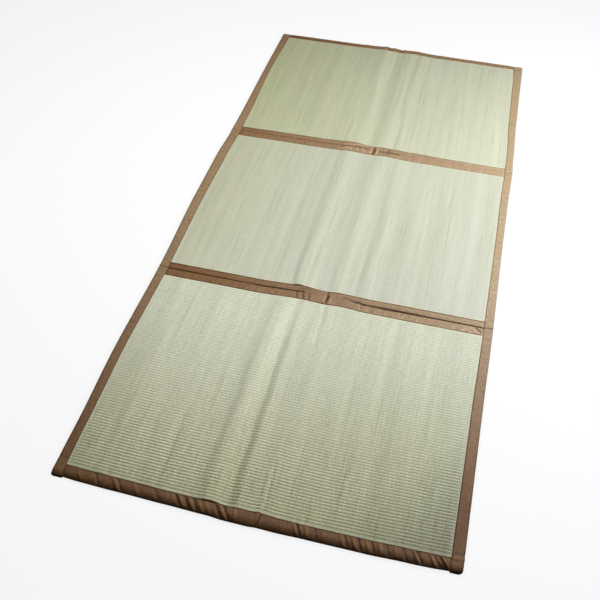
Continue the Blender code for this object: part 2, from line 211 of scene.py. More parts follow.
def startClean():
    if bpy.context.object and bpy.context.object.mode != "OBJECT":
        bpy.ops.object.mode_set(mode="OBJECT")
    bpy.ops.object.select_all(action="DESELECT")


def gridPiece(name, points, weave, marks):
    # a surface of rows and columns of points; weave is its own flat layout in metres, and marks are
    # named values at its points for its material
    rows, columns = points.shape[:2]
    startClean()
    bpy.ops.mesh.primitive_grid_add(x_subdivisions=columns - 1, y_subdivisions=rows - 1, size=1.0)
    piece = bpy.context.object
    piece.name = name
    piece.data.name = name
    mesh = piece.data
    flat = np.empty(len(mesh.vertices) * 3)
    mesh.vertices.foreach_get("co", flat)
    flat = flat.reshape(-1, 3)
    order = np.lexsort((flat[:, 0].round(6), flat[:, 1].round(6)))
    placed = np.empty_like(flat)
    placed[order] = points.reshape(-1, 3)
    mesh.vertices.foreach_set("co", placed.ravel())
    laid = np.empty((len(flat), 2))
    laid[order] = weave.reshape(-1, 2)
    corners = np.empty(len(mesh.loops), dtype=np.int32)
    mesh.loops.foreach_get("vertex_index", corners)
    mesh.uv_layers[0].name = "weave"
    mesh.uv_layers[0].data.foreach_set("uv", laid[corners].ravel())
    for markName, values in marks.items():
        marked = np.empty(len(flat))
        marked[order] = values.ravel()
        mesh.attributes.new(markName, "FLOAT", "POINT").data.foreach_set("value", marked)
    mesh.update()
    return piece


def thickenCloth(piece):
    # turns the cloth's face upwards, then gives it its thickness inwards
    topFace = max(piece.data.polygons, key=lambda item: item.center.z)
    if topFace.normal.z < 0.0:
        bpy.ops.object.mode_set(mode="EDIT")
        bpy.ops.mesh.select_all(action="SELECT")
        bpy.ops.mesh.flip_normals()
        bpy.ops.object.mode_set(mode="OBJECT")
    thickness = piece.modifiers.new("cloth thickness", "SOLIDIFY")
    thickness.thickness = mat["cloth"] * mat["clothShare"]
    thickness.offset = -1.0
    bpy.ops.object.modifier_apply(modifier=thickness.name)
    bpy.ops.object.shade_smooth()


def newMaterial(name):
    material = bpy.data.materials.new(name)
    material.use_nodes = True
    return material, material.node_tree, material.node_tree.nodes["Principled BSDF"]


def setInputs(node, values):
    for socket, value in values.items():
        node.inputs[socket].default_value = value


def addMath(tree, operation, first, second=None, third=None):
    node = tree.nodes.new("ShaderNodeMath")
    node.operation = operation
    for socket, value in zip(node.inputs, (first, second, third)):
        if isinstance(value, (int, float)):
            socket.default_value = value
        elif value is not None:
            tree.links.new(value, socket)
    return node.outputs[0]


def addMix(tree, share, first, second, blend="MIX"):
    node = tree.nodes.new("ShaderNodeMix")
    node.data_type = "RGBA"
    node.blend_type = blend
    for socket, value in ((node.inputs[0], share), (node.inputs[6], first), (node.inputs[7], second)):
        if isinstance(value, (int, float)):
            socket.default_value = value
        elif isinstance(value, tuple):
            socket.default_value = (*value, 1.0)
        else:
            tree.links.new(value, socket)
    return node.outputs[2]


def addShade(tree, colour, shade, share=1.0):
    return addMix(tree, share, colour, shade, "MULTIPLY")


def addNoise(tree, coordinates, across, along, detail):
    # across and along are in repeats per metre
    mapping = tree.nodes.new("ShaderNodeMapping")
    mapping.inputs["Scale"].default_value = (across, along, 1.0)
    tree.links.new(coordinates, mapping.inputs["Vector"])
    noise = tree.nodes.new("ShaderNodeTexNoise")
    noise.inputs["Scale"].default_value = 1.0
    noise.inputs["Detail"].default_value = detail
    tree.links.new(mapping.outputs["Vector"], noise.inputs["Vector"])
    return noise.outputs["Fac"]


def addRamp(tree, value, low, high, lowShare=0.0, highShare=1.0):
    # the low share up to low, the high share from high
    node = tree.nodes.new("ShaderNodeMapRange")
    setInputs(node, {"From Min": low, "From Max": high, "To Min": lowShare, "To Max": highShare})
    tree.links.new(value, node.inputs["Value"])
    return node.outputs["Result"]


def addMark(tree, name):
    # a piece's own marks, such as seamDistance
    node = tree.nodes.new("ShaderNodeAttribute")
    node.attribute_name = name
    return node.outputs["Fac"]


def addAxes(tree, vector):
    node = tree.nodes.new("ShaderNodeSeparateXYZ")
    tree.links.new(vector, node.inputs["Vector"])
    return node.outputs


def addWeave(tree):
    node = tree.nodes.new("ShaderNodeUVMap")
    node.uv_map = "weave"
    return node.outputs["UV"]


def addBump(tree, shader, height, strength, distance):
    bump = tree.nodes.new("ShaderNodeBump")
    bump.inputs["Strength"].default_value = strength
    bump.inputs["Distance"].default_value = distance
    tree.links.new(height, bump.inputs["Height"])
    tree.links.new(bump.outputs["Normal"], shader.inputs["Normal"])


rush = {
    "ribPitch": 0.00753,
    "stemWidth": 0.0029,
    "stemGap": 0.00042,
    "paleStem": (0.640, 0.645, 0.440),
    "greenStem": (0.480, 0.505, 0.275),
    "strawStem": (0.640, 0.595, 0.370),
    "edgeHighlight": (0.700, 0.620, 0.400),
    "valleyShade": (0.190, 0.195, 0.095),
    "brownStem": (0.360, 0.270, 0.130),
    "duller": (0.76, 0.76, 0.70),    # every other stem
    "gap": (0.46, 0.48, 0.38),       # between two stems
    "cornerDarkening": (0.66, 0.66, 0.70),   # the front right corner
    "roughness": 0.28,
    "roughnessVaries": 0.25,
    "shine": 0.95,
    "relief": (0.8, 0.0003),
    "fibreRelief": 0.18,
    "openGapsMore": 0.36,            # how much more the gaps between the stems show at the front
    "edgeHighlightShare": 0.3,
}
# Tones along the stems: repeats per metre across them and along them, and detail
rushGrain = {
    "stem": (430.0, 5.0, 1.0),
    "bundle": (60.0, 1.6, 2.0),
    "broad": (26.0, 1.1, 3.0),
    "straw": (190.0, 11.0, 2.0),
    "stain": (70.0, 9.0, 3.0),
    "fibre": (3200.0, 60.0, 2.0),
}
# Where each tone begins and is full
rushRange = {
    "paleBundles": (0.30, 0.72),
    "paleStems": (0.70, 0.36),
    "strawStems": (0.64, 0.84),
    "stained": (0.54, 0.70),
    "stainedFront": (0.62, 0.90),    # metres from the mat's middle, as the next two
    "openGaps": (0.66, 0.93),
    "darkerCorner": (1.07, 1.32),
    "valley": (0.44, 0.08),          # height of the rib
    "edge": (0.006, 0.001),          # metres from a seam: how much it wanders, the least
}
# Each panel is cut from its own length of matting: how streaky it is, how much painted light and shade its
# crease slopes take, how much painted shade darkens its rows, how dark its stem gaps are, and its painted
# light as (direction, from, to, tint there, tint here): lighter and bluer where the light falls, darker away
# from it
rushPanels = {
    "near": {
        "streaks": 0.45, "creaseSlopeShade": 1.1, "rowShade": 0.50, "gapDark": 0.56, "rowRelief": 0.30, "stains": 0.45,
        "paintedLight": ((0.03, -1.0), 0.44, 0.93, (1.10, 1.10, 1.23), (0.85, 0.84, 0.66)),
    },
    "middle": {
        "streaks": 0.28, "creaseSlopeShade": 0.5, "rowShade": 0.24, "gapDark": 0.30, "rowRelief": 0.10, "stains": 0.0,
        "paintedLight": ((1.0, 0.0), -0.45, -0.10, (0.875, 0.875, 0.905), (0.94, 0.94, 1.075)),
    },
    "far": {
        "streaks": 0.30, "creaseSlopeShade": 0.2, "rowShade": 0.16, "gapDark": 0.30, "rowRelief": 0.10, "stains": 0.0,
        "paintedLight": ((1.0, 0.0), -0.40, 0.15, (0.855, 0.865, 0.795), (0.96, 0.96, 1.03)),
    },
}


def makeRush(name, shift, panel):
    material, tree, shader = newMaterial(name)
    weave = addWeave(tree)
    shifted = tree.nodes.new("ShaderNodeMapping")
    shifted.inputs["Location"].default_value = (shift, 0.0, 0.0)
    tree.links.new(weave, shifted.inputs["Vector"])
    place = shifted.outputs["Vector"]

    # each stem keeps its colour for a long way, and whole bundles run lighter or darker
    tone = {grain: addNoise(tree, place, *row) for grain, row in rushGrain.items()}
    paleBundles = addRamp(tree, tone["bundle"], *rushRange["paleBundles"])
    colour = addMix(tree, paleBundles, rush["greenStem"], rush["paleStem"])
    paleStems = addRamp(tree, tone["stem"], *rushRange["paleStems"])
    colour = addMix(tree, paleStems, colour, rush["paleStem"])
    strawStems = addRamp(tree, tone["straw"], *rushRange["strawStems"])
    colour = addMix(tree, strawStems, colour, rush["strawStem"])
    streaks = panel["streaks"]
    streak = addMath(tree, "MULTIPLY_ADD", tone["broad"], streaks, 1.0 - 0.5 * streaks)
    colour = addShade(tree, colour, streak)
    where = addAxes(tree, tree.nodes.new("ShaderNodeTexCoord").outputs["Object"])
    # painted light: the panel turns lighter and bluer where the light falls on it, darker and warmer away
    # from it
    direction, low, high, paintedLightLow, paintedLightHigh = panel["paintedLight"]
    sideways = addMath(tree, "MULTIPLY", where["X"], direction[0])
    distanceAlong = addMath(tree, "MULTIPLY_ADD", where["Y"], direction[1], sideways)
    colour = addShade(tree, colour, addMix(tree, addRamp(tree, distanceAlong, low, high), paintedLightLow, paintedLightHigh))
    # brown stems and smudges where the mat has been trodden, towards its front; the rush is also darker
    # towards its front right corner
    stained = addRamp(tree, tone["stain"], *rushRange["stained"], 0.0, panel["stains"])
    stained = addMath(tree, "MULTIPLY", stained, addRamp(tree, distanceAlong, *rushRange["stainedFront"]))
    colour = addMix(tree, stained, colour, rush["brownStem"])
    towardsCorner = addMath(tree, "SUBTRACT", where["X"], where["Y"])
    colour = addShade(
        tree, colour, rush["cornerDarkening"], addRamp(tree, towardsCorner, *rushRange["darkerCorner"]))
    # painted light and shade: where a crease slopes towards the light the stems are lighter, where it slopes
    # away darker
    colour = addShade(tree, colour, addMath(tree, "MULTIPLY_ADD", addMark(tree, "creaseSlopeShade"), panel["creaseSlopeShade"], 1.0))

    # stems lie brick fashion, half a stem over from rib to rib
    bricks = tree.nodes.new("ShaderNodeTexBrick")
    bricks.offset = 0.5
    setInputs(bricks, {
        "Scale": 1.0, "Brick Width": rush["stemWidth"], "Row Height": rush["ribPitch"],
        "Mortar Size": rush["stemGap"], "Mortar Smooth": 1.0, "Color1": (1.0, 1.0, 1.0, 1.0),
        "Color2": (*rush["duller"], 1.0), "Mortar": (*rush["gap"], 1.0),
    })
    tree.links.new(place, bricks.inputs["Vector"])
    openGaps = addRamp(tree, distanceAlong, *rushRange["openGaps"])
    gaps = addMath(tree, "MULTIPLY_ADD", openGaps, rush["openGapsMore"], panel["gapDark"])
    colour = addShade(tree, colour, bricks.outputs["Color"], gaps)

    # the warp draws the stems down between the ribs, and painted shade darkens them there
    phase = addMath(tree, "MULTIPLY", addAxes(tree, weave)["Y"], math.pi / rush["ribPitch"])
    crest = addMath(tree, "ABSOLUTE", addMath(tree, "SINE", phase))
    valley = addRamp(tree, crest, *rushRange["valley"], 0.0, panel["rowShade"])
    colour = addMix(tree, valley, colour, rush["valleyShade"])

    # painted highlight: the outermost stems and rows beside a seam are paler, where the light catches the
    # rush's rounded edge
    wander = addMath(tree, "MULTIPLY_ADD", tone["straw"], *rushRange["edge"])
    edge = addMath(tree, "LESS_THAN", addMark(tree, "seamDistance"), wander)
    colour = addMix(tree, addMath(tree, "MULTIPLY", edge, rush["edgeHighlightShare"]), colour, rush["edgeHighlight"])
    tree.links.new(colour, shader.inputs["Base Color"])

    gloss = addMath(tree, "MULTIPLY_ADD", tone["stem"], rush["roughnessVaries"], rush["roughness"])
    tree.links.new(gloss, shader.inputs["Roughness"])
    shader.inputs["Specular IOR Level"].default_value = rush["shine"]
    rows = addMath(tree, "MULTIPLY", crest, panel["rowRelief"])
    relief = addMath(tree, "MULTIPLY_ADD", tone["fibre"], rush["fibreRelief"], rows)
    addBump(tree, shader, addMath(tree, "SUBTRACT", relief, bricks.outputs["Fac"]), *rush["relief"])
    return material


bindingCloth = {
    "brown": (0.225, 0.092, 0.016),
    "wornBrown": (0.290, 0.140, 0.036),
    "sheenBrown": (0.575, 0.428, 0.238),
    # pale rub wear together with a painted highlight on raised folds
    "rubbedAndHighlight": (1.45, 1.50, 1.65),
    # deep brown of the darker slubs, also used for painted shade in folds and painted shadow beside the seam
    "deepBrownAndShade": (0.095, 0.036, 0.010),
    "threadPitch": 0.00075,
    "threadShade": (0.10, 0.94),     # how much the threads vary, the middle tone
    "slub": (90.0, 900.0, 3.0),      # repeats per metre along and across the piece, and detail
    "patch": (14.0, 30.0, 3.0),
    "worn": (0.35, 0.70),            # where each tone begins and is full
    "slubDark": (0.62, 0.36, 0.0, 0.7),
    "raised": (0.20, 1.5),
    "foldShade": (0.05, -1.2, 0.0, 0.75),
    "besideSeam": (0.0028, 0.0004),
    "seamShadow": (-0.62, 0.72),       # painted shadow beside the seam: how much less where the painted sheen is, and the most
    "roughness": 0.50,
    "shine": 0.52,
    "sheen": 0.06,
    "sheenRoughness": 0.45,
    "sheenTint": (1.0, 0.86, 0.70),
    "slubRelief": 0.9,
    "relief": (0.6, 0.00018),
}
sewingThread = {
    "dark": (0.085, 0.040, 0.018),
    "light": (0.150, 0.078, 0.038),
    "paintedSheen": (0.480, 0.345, 0.190),
    "grain": (900.0, 900.0, 2.0),
    "mixed": (0.3, 0.7),
    "roughness": 0.55,
    "relief": (0.3, 0.0001),
}
# How much painted sheen each piece takes, paler towards the light, from one place along it to another:
# place, place, share, share
sheenSpans = {
    "fold_strip_near": (-0.30, 0.40, 0.00, 0.84),
    "fold_strip_far": (-0.45, 0.40, 0.12, 0.95),
    "binding_near": (-0.45, 0.45, 0.00, 0.00),
    "binding_far": (-0.45, 0.20, 0.00, 0.45),
    "binding_left": (-0.90, -0.10, 0.05, 0.55),
    "binding_right": (-0.82, -0.22, 0.00, 1.00),
}


def makeBindingCloth(name, fade):
    material, tree, shader = newMaterial(name)
    look = bindingCloth
    place = addWeave(tree)
    apart = addAxes(tree, place)
    turn = 2.0 * math.pi / look["threadPitch"]
    warp = addMath(tree, "SINE", addMath(tree, "MULTIPLY", apart["X"], turn))
    weft = addMath(tree, "SINE", addMath(tree, "MULTIPLY", apart["Y"], turn))
    woven = addMath(tree, "MULTIPLY", warp, weft)
    slub = addNoise(tree, place, *look["slub"])
    worn = addRamp(tree, addNoise(tree, place, *look["patch"]), *look["worn"])
    colour = addMix(tree, worn, look["brown"], look["wornBrown"])
    # painted sheen: each piece turns paler towards the light along it
    paintedSheen = addRamp(tree, apart["X"], *fade)
    colour = addMix(tree, paintedSheen, colour, look["sheenBrown"])
    colour = addMix(tree, addRamp(tree, slub, *look["slubDark"]), colour, look["deepBrownAndShade"])
    # raised folds are rubbed paler and take a painted highlight, painted shade darkens the cloth down in a
    # fold, and painted shadow falls along the seam
    raised = addMark(tree, "raised")
    colour = addShade(tree, colour, look["rubbedAndHighlight"], addRamp(tree, raised, *look["raised"]))
    colour = addMix(tree, addRamp(tree, raised, *look["foldShade"]), colour, look["deepBrownAndShade"])
    # painted shadow: the rush's edge shades the sunk cloth beside the seam, less where the painted sheen is
    seamShadow = addMath(tree, "MULTIPLY_ADD", paintedSheen, *look["seamShadow"])
    besideSeam = addRamp(tree, addMark(tree, "seamDistance"), *look["besideSeam"])
    colour = addMix(tree, addMath(tree, "MULTIPLY", besideSeam, seamShadow), colour, look["deepBrownAndShade"])
    colour = addShade(tree, colour, addMath(tree, "MULTIPLY_ADD", woven, *look["threadShade"]))
    tree.links.new(colour, shader.inputs["Base Color"])
    setInputs(shader, {
        "Roughness": look["roughness"], "Specular IOR Level": look["shine"], "Sheen Weight": look["sheen"],
        "Sheen Roughness": look["sheenRoughness"], "Sheen Tint": (*look["sheenTint"], 1.0),
    })
    addBump(tree, shader, addMath(tree, "MULTIPLY_ADD", slub, look["slubRelief"], woven), *look["relief"])
    return material


def makeThread(name, along, fade):
    material, tree, shader = newMaterial(name)
    look = sewingThread
    place = tree.nodes.new("ShaderNodeTexCoord").outputs["Object"]
    tone = addNoise(tree, place, *look["grain"])
    colour = addMix(tree, addRamp(tree, tone, *look["mixed"]), look["dark"], look["light"])
    # painted sheen: the thread pales where its cloth does
    paintedSheen = addRamp(tree, addAxes(tree, place)[along], *fade)
    tree.links.new(addMix(tree, paintedSheen, colour, look["paintedSheen"]), shader.inputs["Base Color"])
    shader.inputs["Roughness"].default_value = look["roughness"]
    addBump(tree, shader, tone, *look["relief"])
    return material


# The three padded rush panels
panelBuild = {
    "ribRise": {"near": 0.00036, "middle": 0.00016, "far": 0.00014},  # from the warp line to a rib's top
    "ribOver": 0.00015,          # how far rib tops stand over the mat's nominal thickness
    "ribSamples": (0.0, 0.10, 0.28, 0.50, 0.72, 0.90),
    "ringRoom": 0.15,            # the samples nearest a seam belong to the rings
    "ribShape": 0.75,
    "edgeDrop": 0.0007,          # how far the rush is drawn down beside a seam
    "edgeReach": 0.006,
    "fieldRun": 0.0012,          # the weave begins this far from a seam
    "sideSetback": 0.0088,       # from the mat's rim to the padding's
    "endSetback": 0.0112,
    "coreRound": 0.0044,
    "turnSteps": (1.0, 0.3, 0.0, 0.3, 1.0),   # places round the padding's edge, as shares of its radius
    "pastSeam": 0.011,
    "foldSpots": (0.014, 0.012, 0.010),
    "layerRoom": 0.0006,
    "leastPad": 0.0006,
    "clothRoom": 0.0014,         # how much further down the padding lies under loose cloth
    "clothRoomRun": 0.005,
    "tuckStart": 0.0090,         # where the second layer of cloth begins, and how soon it is full
    "tuckRun": 0.0018,
    "stepRun": 0.0006,
    "foldClearance": 0.0008,
    "foldDip": 0.0075,           # how deep and how wide the rush rounds down to a fold
    "creaseSlopeShadeLimits": (-0.16, 0.12),
    "wander": ((0.0016, 17.0), (0.0009, 41.0)),                       # size, repeats per metre
    "waver": {"near": 0.00008, "middle": 0.00004, "far": 0.00004},    # where bundles of stems differ
    "waverPlaces": 76,
    "waverHalfWidth": 0.45,
}
fieldPlaces = {
    "start": 0.0022,             # first column's distance from the side seam
    "creased": (-0.128, 0.1441),
    "creasedStep": 0.0036,
    "plainGap": 0.007,
    "plainColumns": (36, 34),
}
# Soft creases from folding the mat in half too, as the height of the face across the width of each panel,
# and their share along its length. They lie beside the hump that riseAcross gives the whole mat.
creaseAcross = {
    "near": [
        (-0.128, 0.0000), (-0.096, 0.0025), (-0.088, 0.0024), (-0.052, -0.0028), (-0.033, 0.0003),
        (0.000, 0.0000),
    ],
    "middle": [
        (-0.150, -0.0004), (-0.089, -0.0002), (-0.071, 0.0021), (-0.022, -0.0010), (0.008, -0.0012),
        (0.033, 0.0003), (0.070, -0.0012), (0.085, -0.0012), (0.106, -0.0001), (0.140, -0.0007),
        (0.190, 0.0000),
    ],
    "far": [
        (-0.110, 0.0000), (-0.050, 0.0003), (-0.006, -0.0013), (0.028, 0.0012), (0.040, 0.0010),
        (0.072, -0.0013), (0.087, -0.0001), (0.150, 0.0000),
    ],
}
creaseAlong = {
    "near": [(-0.945, 1.15), (-0.700, 1.10), (-0.500, 0.75), (-0.400, 0.45), (-0.342, 0.35)],
    "middle": [(-0.292, 1.60), (-0.180, 1.30), (0.060, 0.80), (0.230, 0.75), (0.317, 0.60)],
    "far": [(0.363, 1.60), (0.500, 1.05), (0.720, 0.70), (0.951, 0.80)],
}
# Shorter creases and faint troughs: start x, start y, end x, end y, half width, height, fade
panelCreases = {
    "near": [
        (0.020, -0.350, 0.023, -0.460, 0.0045, -0.0009, 0.40),
        (0.027, -0.945, 0.023, -0.850, 0.0035, -0.0012, 0.45),
        (0.019, -0.945, 0.016, -0.870, 0.0026, 0.0016, 0.45),
        (0.332, -0.600, 0.334, -0.860, 0.0110, 0.0007, 0.30),
        (-0.230, -0.420, -0.232, -0.900, 0.0110, 0.0006, 0.30),
        (-0.342, -0.560, -0.344, -0.920, 0.0110, 0.0009, 0.30),
    ],
    "middle": [
        (-0.032, -0.150, -0.034, -0.285, 0.0040, 0.0008, 0.30),
        (-0.180, 0.200, -0.172, -0.285, 0.0100, -0.0005, 0.25),
        (0.235, 0.300, 0.240, -0.270, 0.0160, -0.0004, 0.20),
    ],
    "far": [
        (-0.078, 0.370, -0.074, 0.480, 0.0080, 0.0009, 0.40),
        (-0.240, 0.380, -0.230, 0.930, 0.0200, -0.0005, 0.20),
        (0.340, 0.380, 0.335, 0.930, 0.0160, -0.0004, 0.20),
    ],
}


def turnedDown(distance, radius):
    # how far a round edge has turned down at a distance in from where it ends
    short = np.clip(radius - distance, 0.0, radius)
    return radius - np.sqrt(radius * radius - short * short)


def fieldColumns():
    # closer columns where the mat is creased
    places = fieldPlaces
    creased = np.arange(*places["creased"], places["creasedStep"])
    outermost = mat["fieldHalfWidth"] - places["start"]
    left = np.linspace(-outermost, creased[0] - places["plainGap"], places["plainColumns"][0])
    right = np.linspace(creased[-1] + places["plainGap"], outermost, places["plainColumns"][1])
    return np.concatenate([left, creased, right])


def panelEnds(low, high):
    # each end is ("rim", seam, rim) or ("fold", seam, fold); its rings run from underneath round to the top
    build = panelBuild
    ends = []
    for (kind, seam, edge), inward in ((low, 1.0), (high, -1.0)):
        if kind == "rim":
            core = edge + inward * build["endSetback"]
            above = [seam - inward * build["pastSeam"], seam, seam + inward * build["stepRun"]]
            underneath = above[::-1]
        else:
            core = edge + inward * build["foldClearance"]
            underneath = [core + inward * spot for spot in build["foldSpots"]]
            above = [underneath[-1], seam, seam + inward * build["stepRun"]]
        turn = [core + inward * share * build["coreRound"] for share in build["turnSteps"]]
        ends.append((kind, seam, edge, core, inward, np.array(underneath + turn + above)))
    return ends


def makePanel(key, low, high, seed):
    # the edges of the grid are wrapped down round the padding as closed rings, and the last ring is filled
    # with one flat face underneath
    build = panelBuild
    sideEdge = sideRim - build["sideSetback"]
    sideSeam = mat["fieldHalfWidth"]
    coreRound = build["coreRound"]
    ringStart = [sideSeam - build["stepRun"], sideSeam, sideSeam + build["pastSeam"]]
    ringTurn = [sideEdge - share * coreRound for share in build["turnSteps"]]
    ringX = np.array(ringStart + ringTurn + ringStart[::-1])
    rings = len(ringX)
    outermost = rings // 2
    ends = panelEnds(low, high)

    ribs = int(round((high[1] - low[1]) / rush["ribPitch"]))
    pitch = (high[1] - low[1]) / ribs
    phases = (np.arange(ribs)[:, None] + np.array(build["ribSamples"])[None, :]).ravel()[1:]
    room = build["ringRoom"]
    phases = phases[(phases > room) & (phases < ribs - room)]
    fieldY = low[1] + phases * pitch
    fieldX = fieldColumns()
    columns = len(fieldX) + 2 * rings
    rows = len(fieldY) + 2 * rings

    # the place of every column and row where it runs through the field
    straightX = np.concatenate([np.zeros(rings), fieldX, np.zeros(rings)])
    straightY = np.concatenate([np.zeros(rings), fieldY, np.zeros(rings)])
    column, row = np.meshgrid(np.arange(columns), np.arange(rows))
    ring = np.minimum.reduce([column, columns - 1 - column, row, rows - 1 - row, np.full_like(row, rings)])

    def along(index, count, straight, lowRing, highRing):
        # inside a ring's corners, the points between the ring and the field are spread evenly
        first, last = straight[rings], straight[count - 1 - rings]
        ringLow = np.append(lowRing, first)[ring]
        ringHigh = np.append(highRing, last)[ring]
        share = (index - ring) / np.maximum(rings - ring, 1)
        result = np.where(index < rings, ringLow + (first - ringLow) * share, straight[index])
        share = (count - 1 - index - ring) / np.maximum(rings - ring, 1)
        return np.where(index > count - 1 - rings, ringHigh + (last - ringHigh) * share, result)

    x = along(column, columns, straightX, -ringX, ringX)
    y = along(row, rows, straightY, ends[0][5], ends[1][5])

    # heights: the margin gives way to the cloth round it
    sideStep = np.clip((np.abs(x) - sideSeam) / build["stepRun"] + 1.0, 0.0, 1.0)
    tuck = np.clip((np.abs(x) - sideSeam + build["tuckStart"]) / build["tuckRun"], 0.0, 1.0)
    underCloth, topLayers, bottomLayers = sideStep, sideStep, sideStep
    dip = np.zeros_like(x)
    turned = turnedDown(sideEdge - np.abs(x), coreRound)
    seamDistance = sideSeam - np.abs(x)
    for kind, seam, edge, core, inward, _ in ends:
        endStep = np.clip((seam - y) * inward / build["stepRun"] + 1.0, 0.0, 1.0)
        underCloth = np.maximum(underCloth, endStep)
        topLayers = np.maximum(topLayers, endStep * (1.0 + tuck))
        seamDistance = np.minimum(seamDistance, (y - seam) * inward)
        if kind == "rim":
            bottomLayers = np.maximum(bottomLayers, endStep * (1.0 + tuck))
            turned = np.maximum(turned, turnedDown((y - core) * inward, coreRound))
        else:
            dip += endStep * build["foldDip"] * np.exp(-((y - edge) / build["foldDip"]) ** 2)
    outside = np.maximum(-seamDistance, 0.0)
    roof = mat["thickness"] - underCloth * mat["seamSink"] - topLayers * (layer + build["layerRoom"]) - dip
    roof = roof - build["clothRoom"] * soften(outside / build["clothRoomRun"])
    floorLevel = bottomLayers * layer
    turned = np.minimum(turned, (roof - floorLevel - build["leastPad"]) / 2.0)
    isTop = ring > outermost
    z = np.where(isTop, roof - turned, floorLevel + turned)
    z = np.where(ring == outermost, (roof + floorLevel) / 2.0, z)

    # the woven face: ribs, drawn-down edges, creases and faint waves
    phase = (y - low[1]) / pitch
    rib = np.abs(np.sin(math.pi * phase)) ** build["ribShape"]
    face = build["ribOver"] - build["ribRise"][key] * (1.0 - rib)
    face = face - build["edgeDrop"] * np.exp(-np.maximum(seamDistance, 0.0) / build["edgeReach"])
    wandering = x
    for turn, (size, rate) in enumerate(build["wander"], start=1):
        wandering = wandering + size * np.sin(y * rate + turn * seed)
    creased = readRows(creaseAcross[key], wandering, 1) * readRows(creaseAlong[key], y, 1)
    creased = creased + foldHeights(x, y, panelCreases[key])
    face = face + creased
    random = np.random.default_rng(seed)
    places = build["waverPlaces"]
    waveX = np.linspace(-build["waverHalfWidth"], build["waverHalfWidth"], places)
    firstWave = np.interp(x, waveX, random.uniform(-1.0, 1.0, places))
    lastWave = np.interp(x, waveX, random.uniform(-1.0, 1.0, places))
    share = (y - low[1]) / (high[1] - low[1])
    face = face + build["waver"][key] * (firstWave * (1.0 - share) + lastWave * share)
    field = soften(seamDistance / build["fieldRun"])
    z = np.where(isTop, z + face * field, z)

    points = layAsItLies(np.stack([x, y, z], axis=-1))
    points[..., 2] = np.maximum(points[..., 2], 0.0)
    weave = np.stack([x, phase * rush["ribPitch"]], axis=-1)
    # painted light and shade for the rush: the slope of the creases across the mat
    run = np.gradient(x, axis=1)
    creaseSlopeShade = -np.gradient(creased, axis=1) / np.where(np.abs(run) > 0.001, run, 1.0)
    creaseSlopeShade = np.clip(creaseSlopeShade, *build["creaseSlopeShadeLimits"]) * field * isTop
    piece = gridPiece("rush_panel_" + key, points, weave, {"seamDistance": seamDistance, "creaseSlopeShade": creaseSlopeShade})
    bpy.ops.object.mode_set(mode="EDIT")
    bpy.ops.mesh.select_mode(type="EDGE")
    bpy.ops.mesh.select_all(action="DESELECT")
    bpy.ops.mesh.select_non_manifold()
    bpy.ops.mesh.edge_face_add()
    bpy.ops.mesh.select_all(action="SELECT")
    bpy.ops.mesh.normals_make_consistent(inside=False)
    bpy.ops.object.mode_set(mode="OBJECT")
    # the flat face underneath takes its weave straight from its plan
    mesh = piece.data
    underside = max(mesh.polygons, key=lambda item: item.loop_total)
    for loop in underside.loop_indices:
        point = mesh.vertices[mesh.loops[loop].vertex_index].co
        mesh.uv_layers[0].data[loop].uv = (point.x, point.y - low[1])
    bpy.ops.object.shade_smooth_by_angle(angle=math.radians(50.0))
    return piece


print("rush panels")
nearPanel = makePanel(
    "near", ("rim", mat["nearSeam"], mat["nearRim"]), ("fold", mat["nearStrip"][0], mat["nearFold"]), 3)
middlePanel = makePanel(
    "middle", ("fold", mat["nearStrip"][1], mat["nearFold"]),
    ("fold", mat["farStrip"][0], mat["farFold"]), 5)
farPanel = makePanel(
    "far", ("fold", mat["farStrip"][1], mat["farFold"]), ("rim", mat["farSeam"], mat["farRim"]), 8)
# each panel's flat length, and how far along its matting it was cut
for panel, key, length, shift in (
    (nearPanel, "near", 0.658, 0.0), (middlePanel, "middle", 0.655, 1.7), (farPanel, "far", 0.628, 3.1),
):
    node = "panel_" + key
    panel.data.materials.append(makeRush(node + "_rush", shift, rushPanels[key]))
    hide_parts(node)
    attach(panel, "root")


# The cloth strip over each fold
stripBuild = {
    "padRise": 0.0005,
    "tuckStart": 0.0065,
    "tuckEnd": 0.0008,
    "tuckReach": 0.012,
    "endRoom": 0.001,            # so that the last column is there
    "spacing": 0.0017,
    "besideFold": (0.0, 0.0005, 0.0010, 0.0016, 0.0023, 0.0032, 0.0044, 0.0060),
    "besideSeam": (0.0, 0.0005, 0.0012, 0.0024, 0.0040),
    "lines": (9, 6),             # between those, on the near and the far half
    "lineRoom": (0.0055, 0.0075),
    "edgeTurn": (0.0007, 0.0011),   # how far the folded edge turns down into the seam, and how soon
    "slitShape": 1.25,
    "slitShoulder": (0.10, 4.5),    # share of the slit's depth that reaches wide, and how wide
    "sewnDown": 0.0020,
    "nearGather": (0.0066, 0.25, 0.020),   # spacing, slant, reach
    "farGather": (0.0090, -0.20, 0.014),
    "tuckedSlit": 0.5,
    "raisedUnit": 0.0007,
}
# The slit along a fold: place across the mat, depth, half width
nearSlit = [
    (-0.430, 0.0040, 0.0009), (-0.330, 0.0042, 0.0008), (-0.240, 0.0038, 0.0007), (-0.200, 0.0016, 0.0010),
    (-0.170, 0.0044, 0.0009), (-0.110, 0.0046, 0.0009), (-0.070, 0.0032, 0.0008), (-0.035, 0.0002, 0.0024),
    (0.070, 0.0002, 0.0024), (0.092, 0.0020, 0.0010), (0.130, 0.0036, 0.0010), (0.180, 0.0052, 0.0014),
    (0.240, 0.0050, 0.0012), (0.310, 0.0042, 0.0009), (0.430, 0.0036, 0.0008),
]
farSlit = [
    (-0.430, 0.0016, 0.0008), (-0.250, 0.0020, 0.0007), (-0.140, 0.0018, 0.0008), (-0.090, 0.0008, 0.0022),
    (0.020, 0.0001, 0.0030), (0.100, 0.0001, 0.0030), (0.300, 0.0001, 0.0024), (0.430, 0.0003, 0.0012),
]
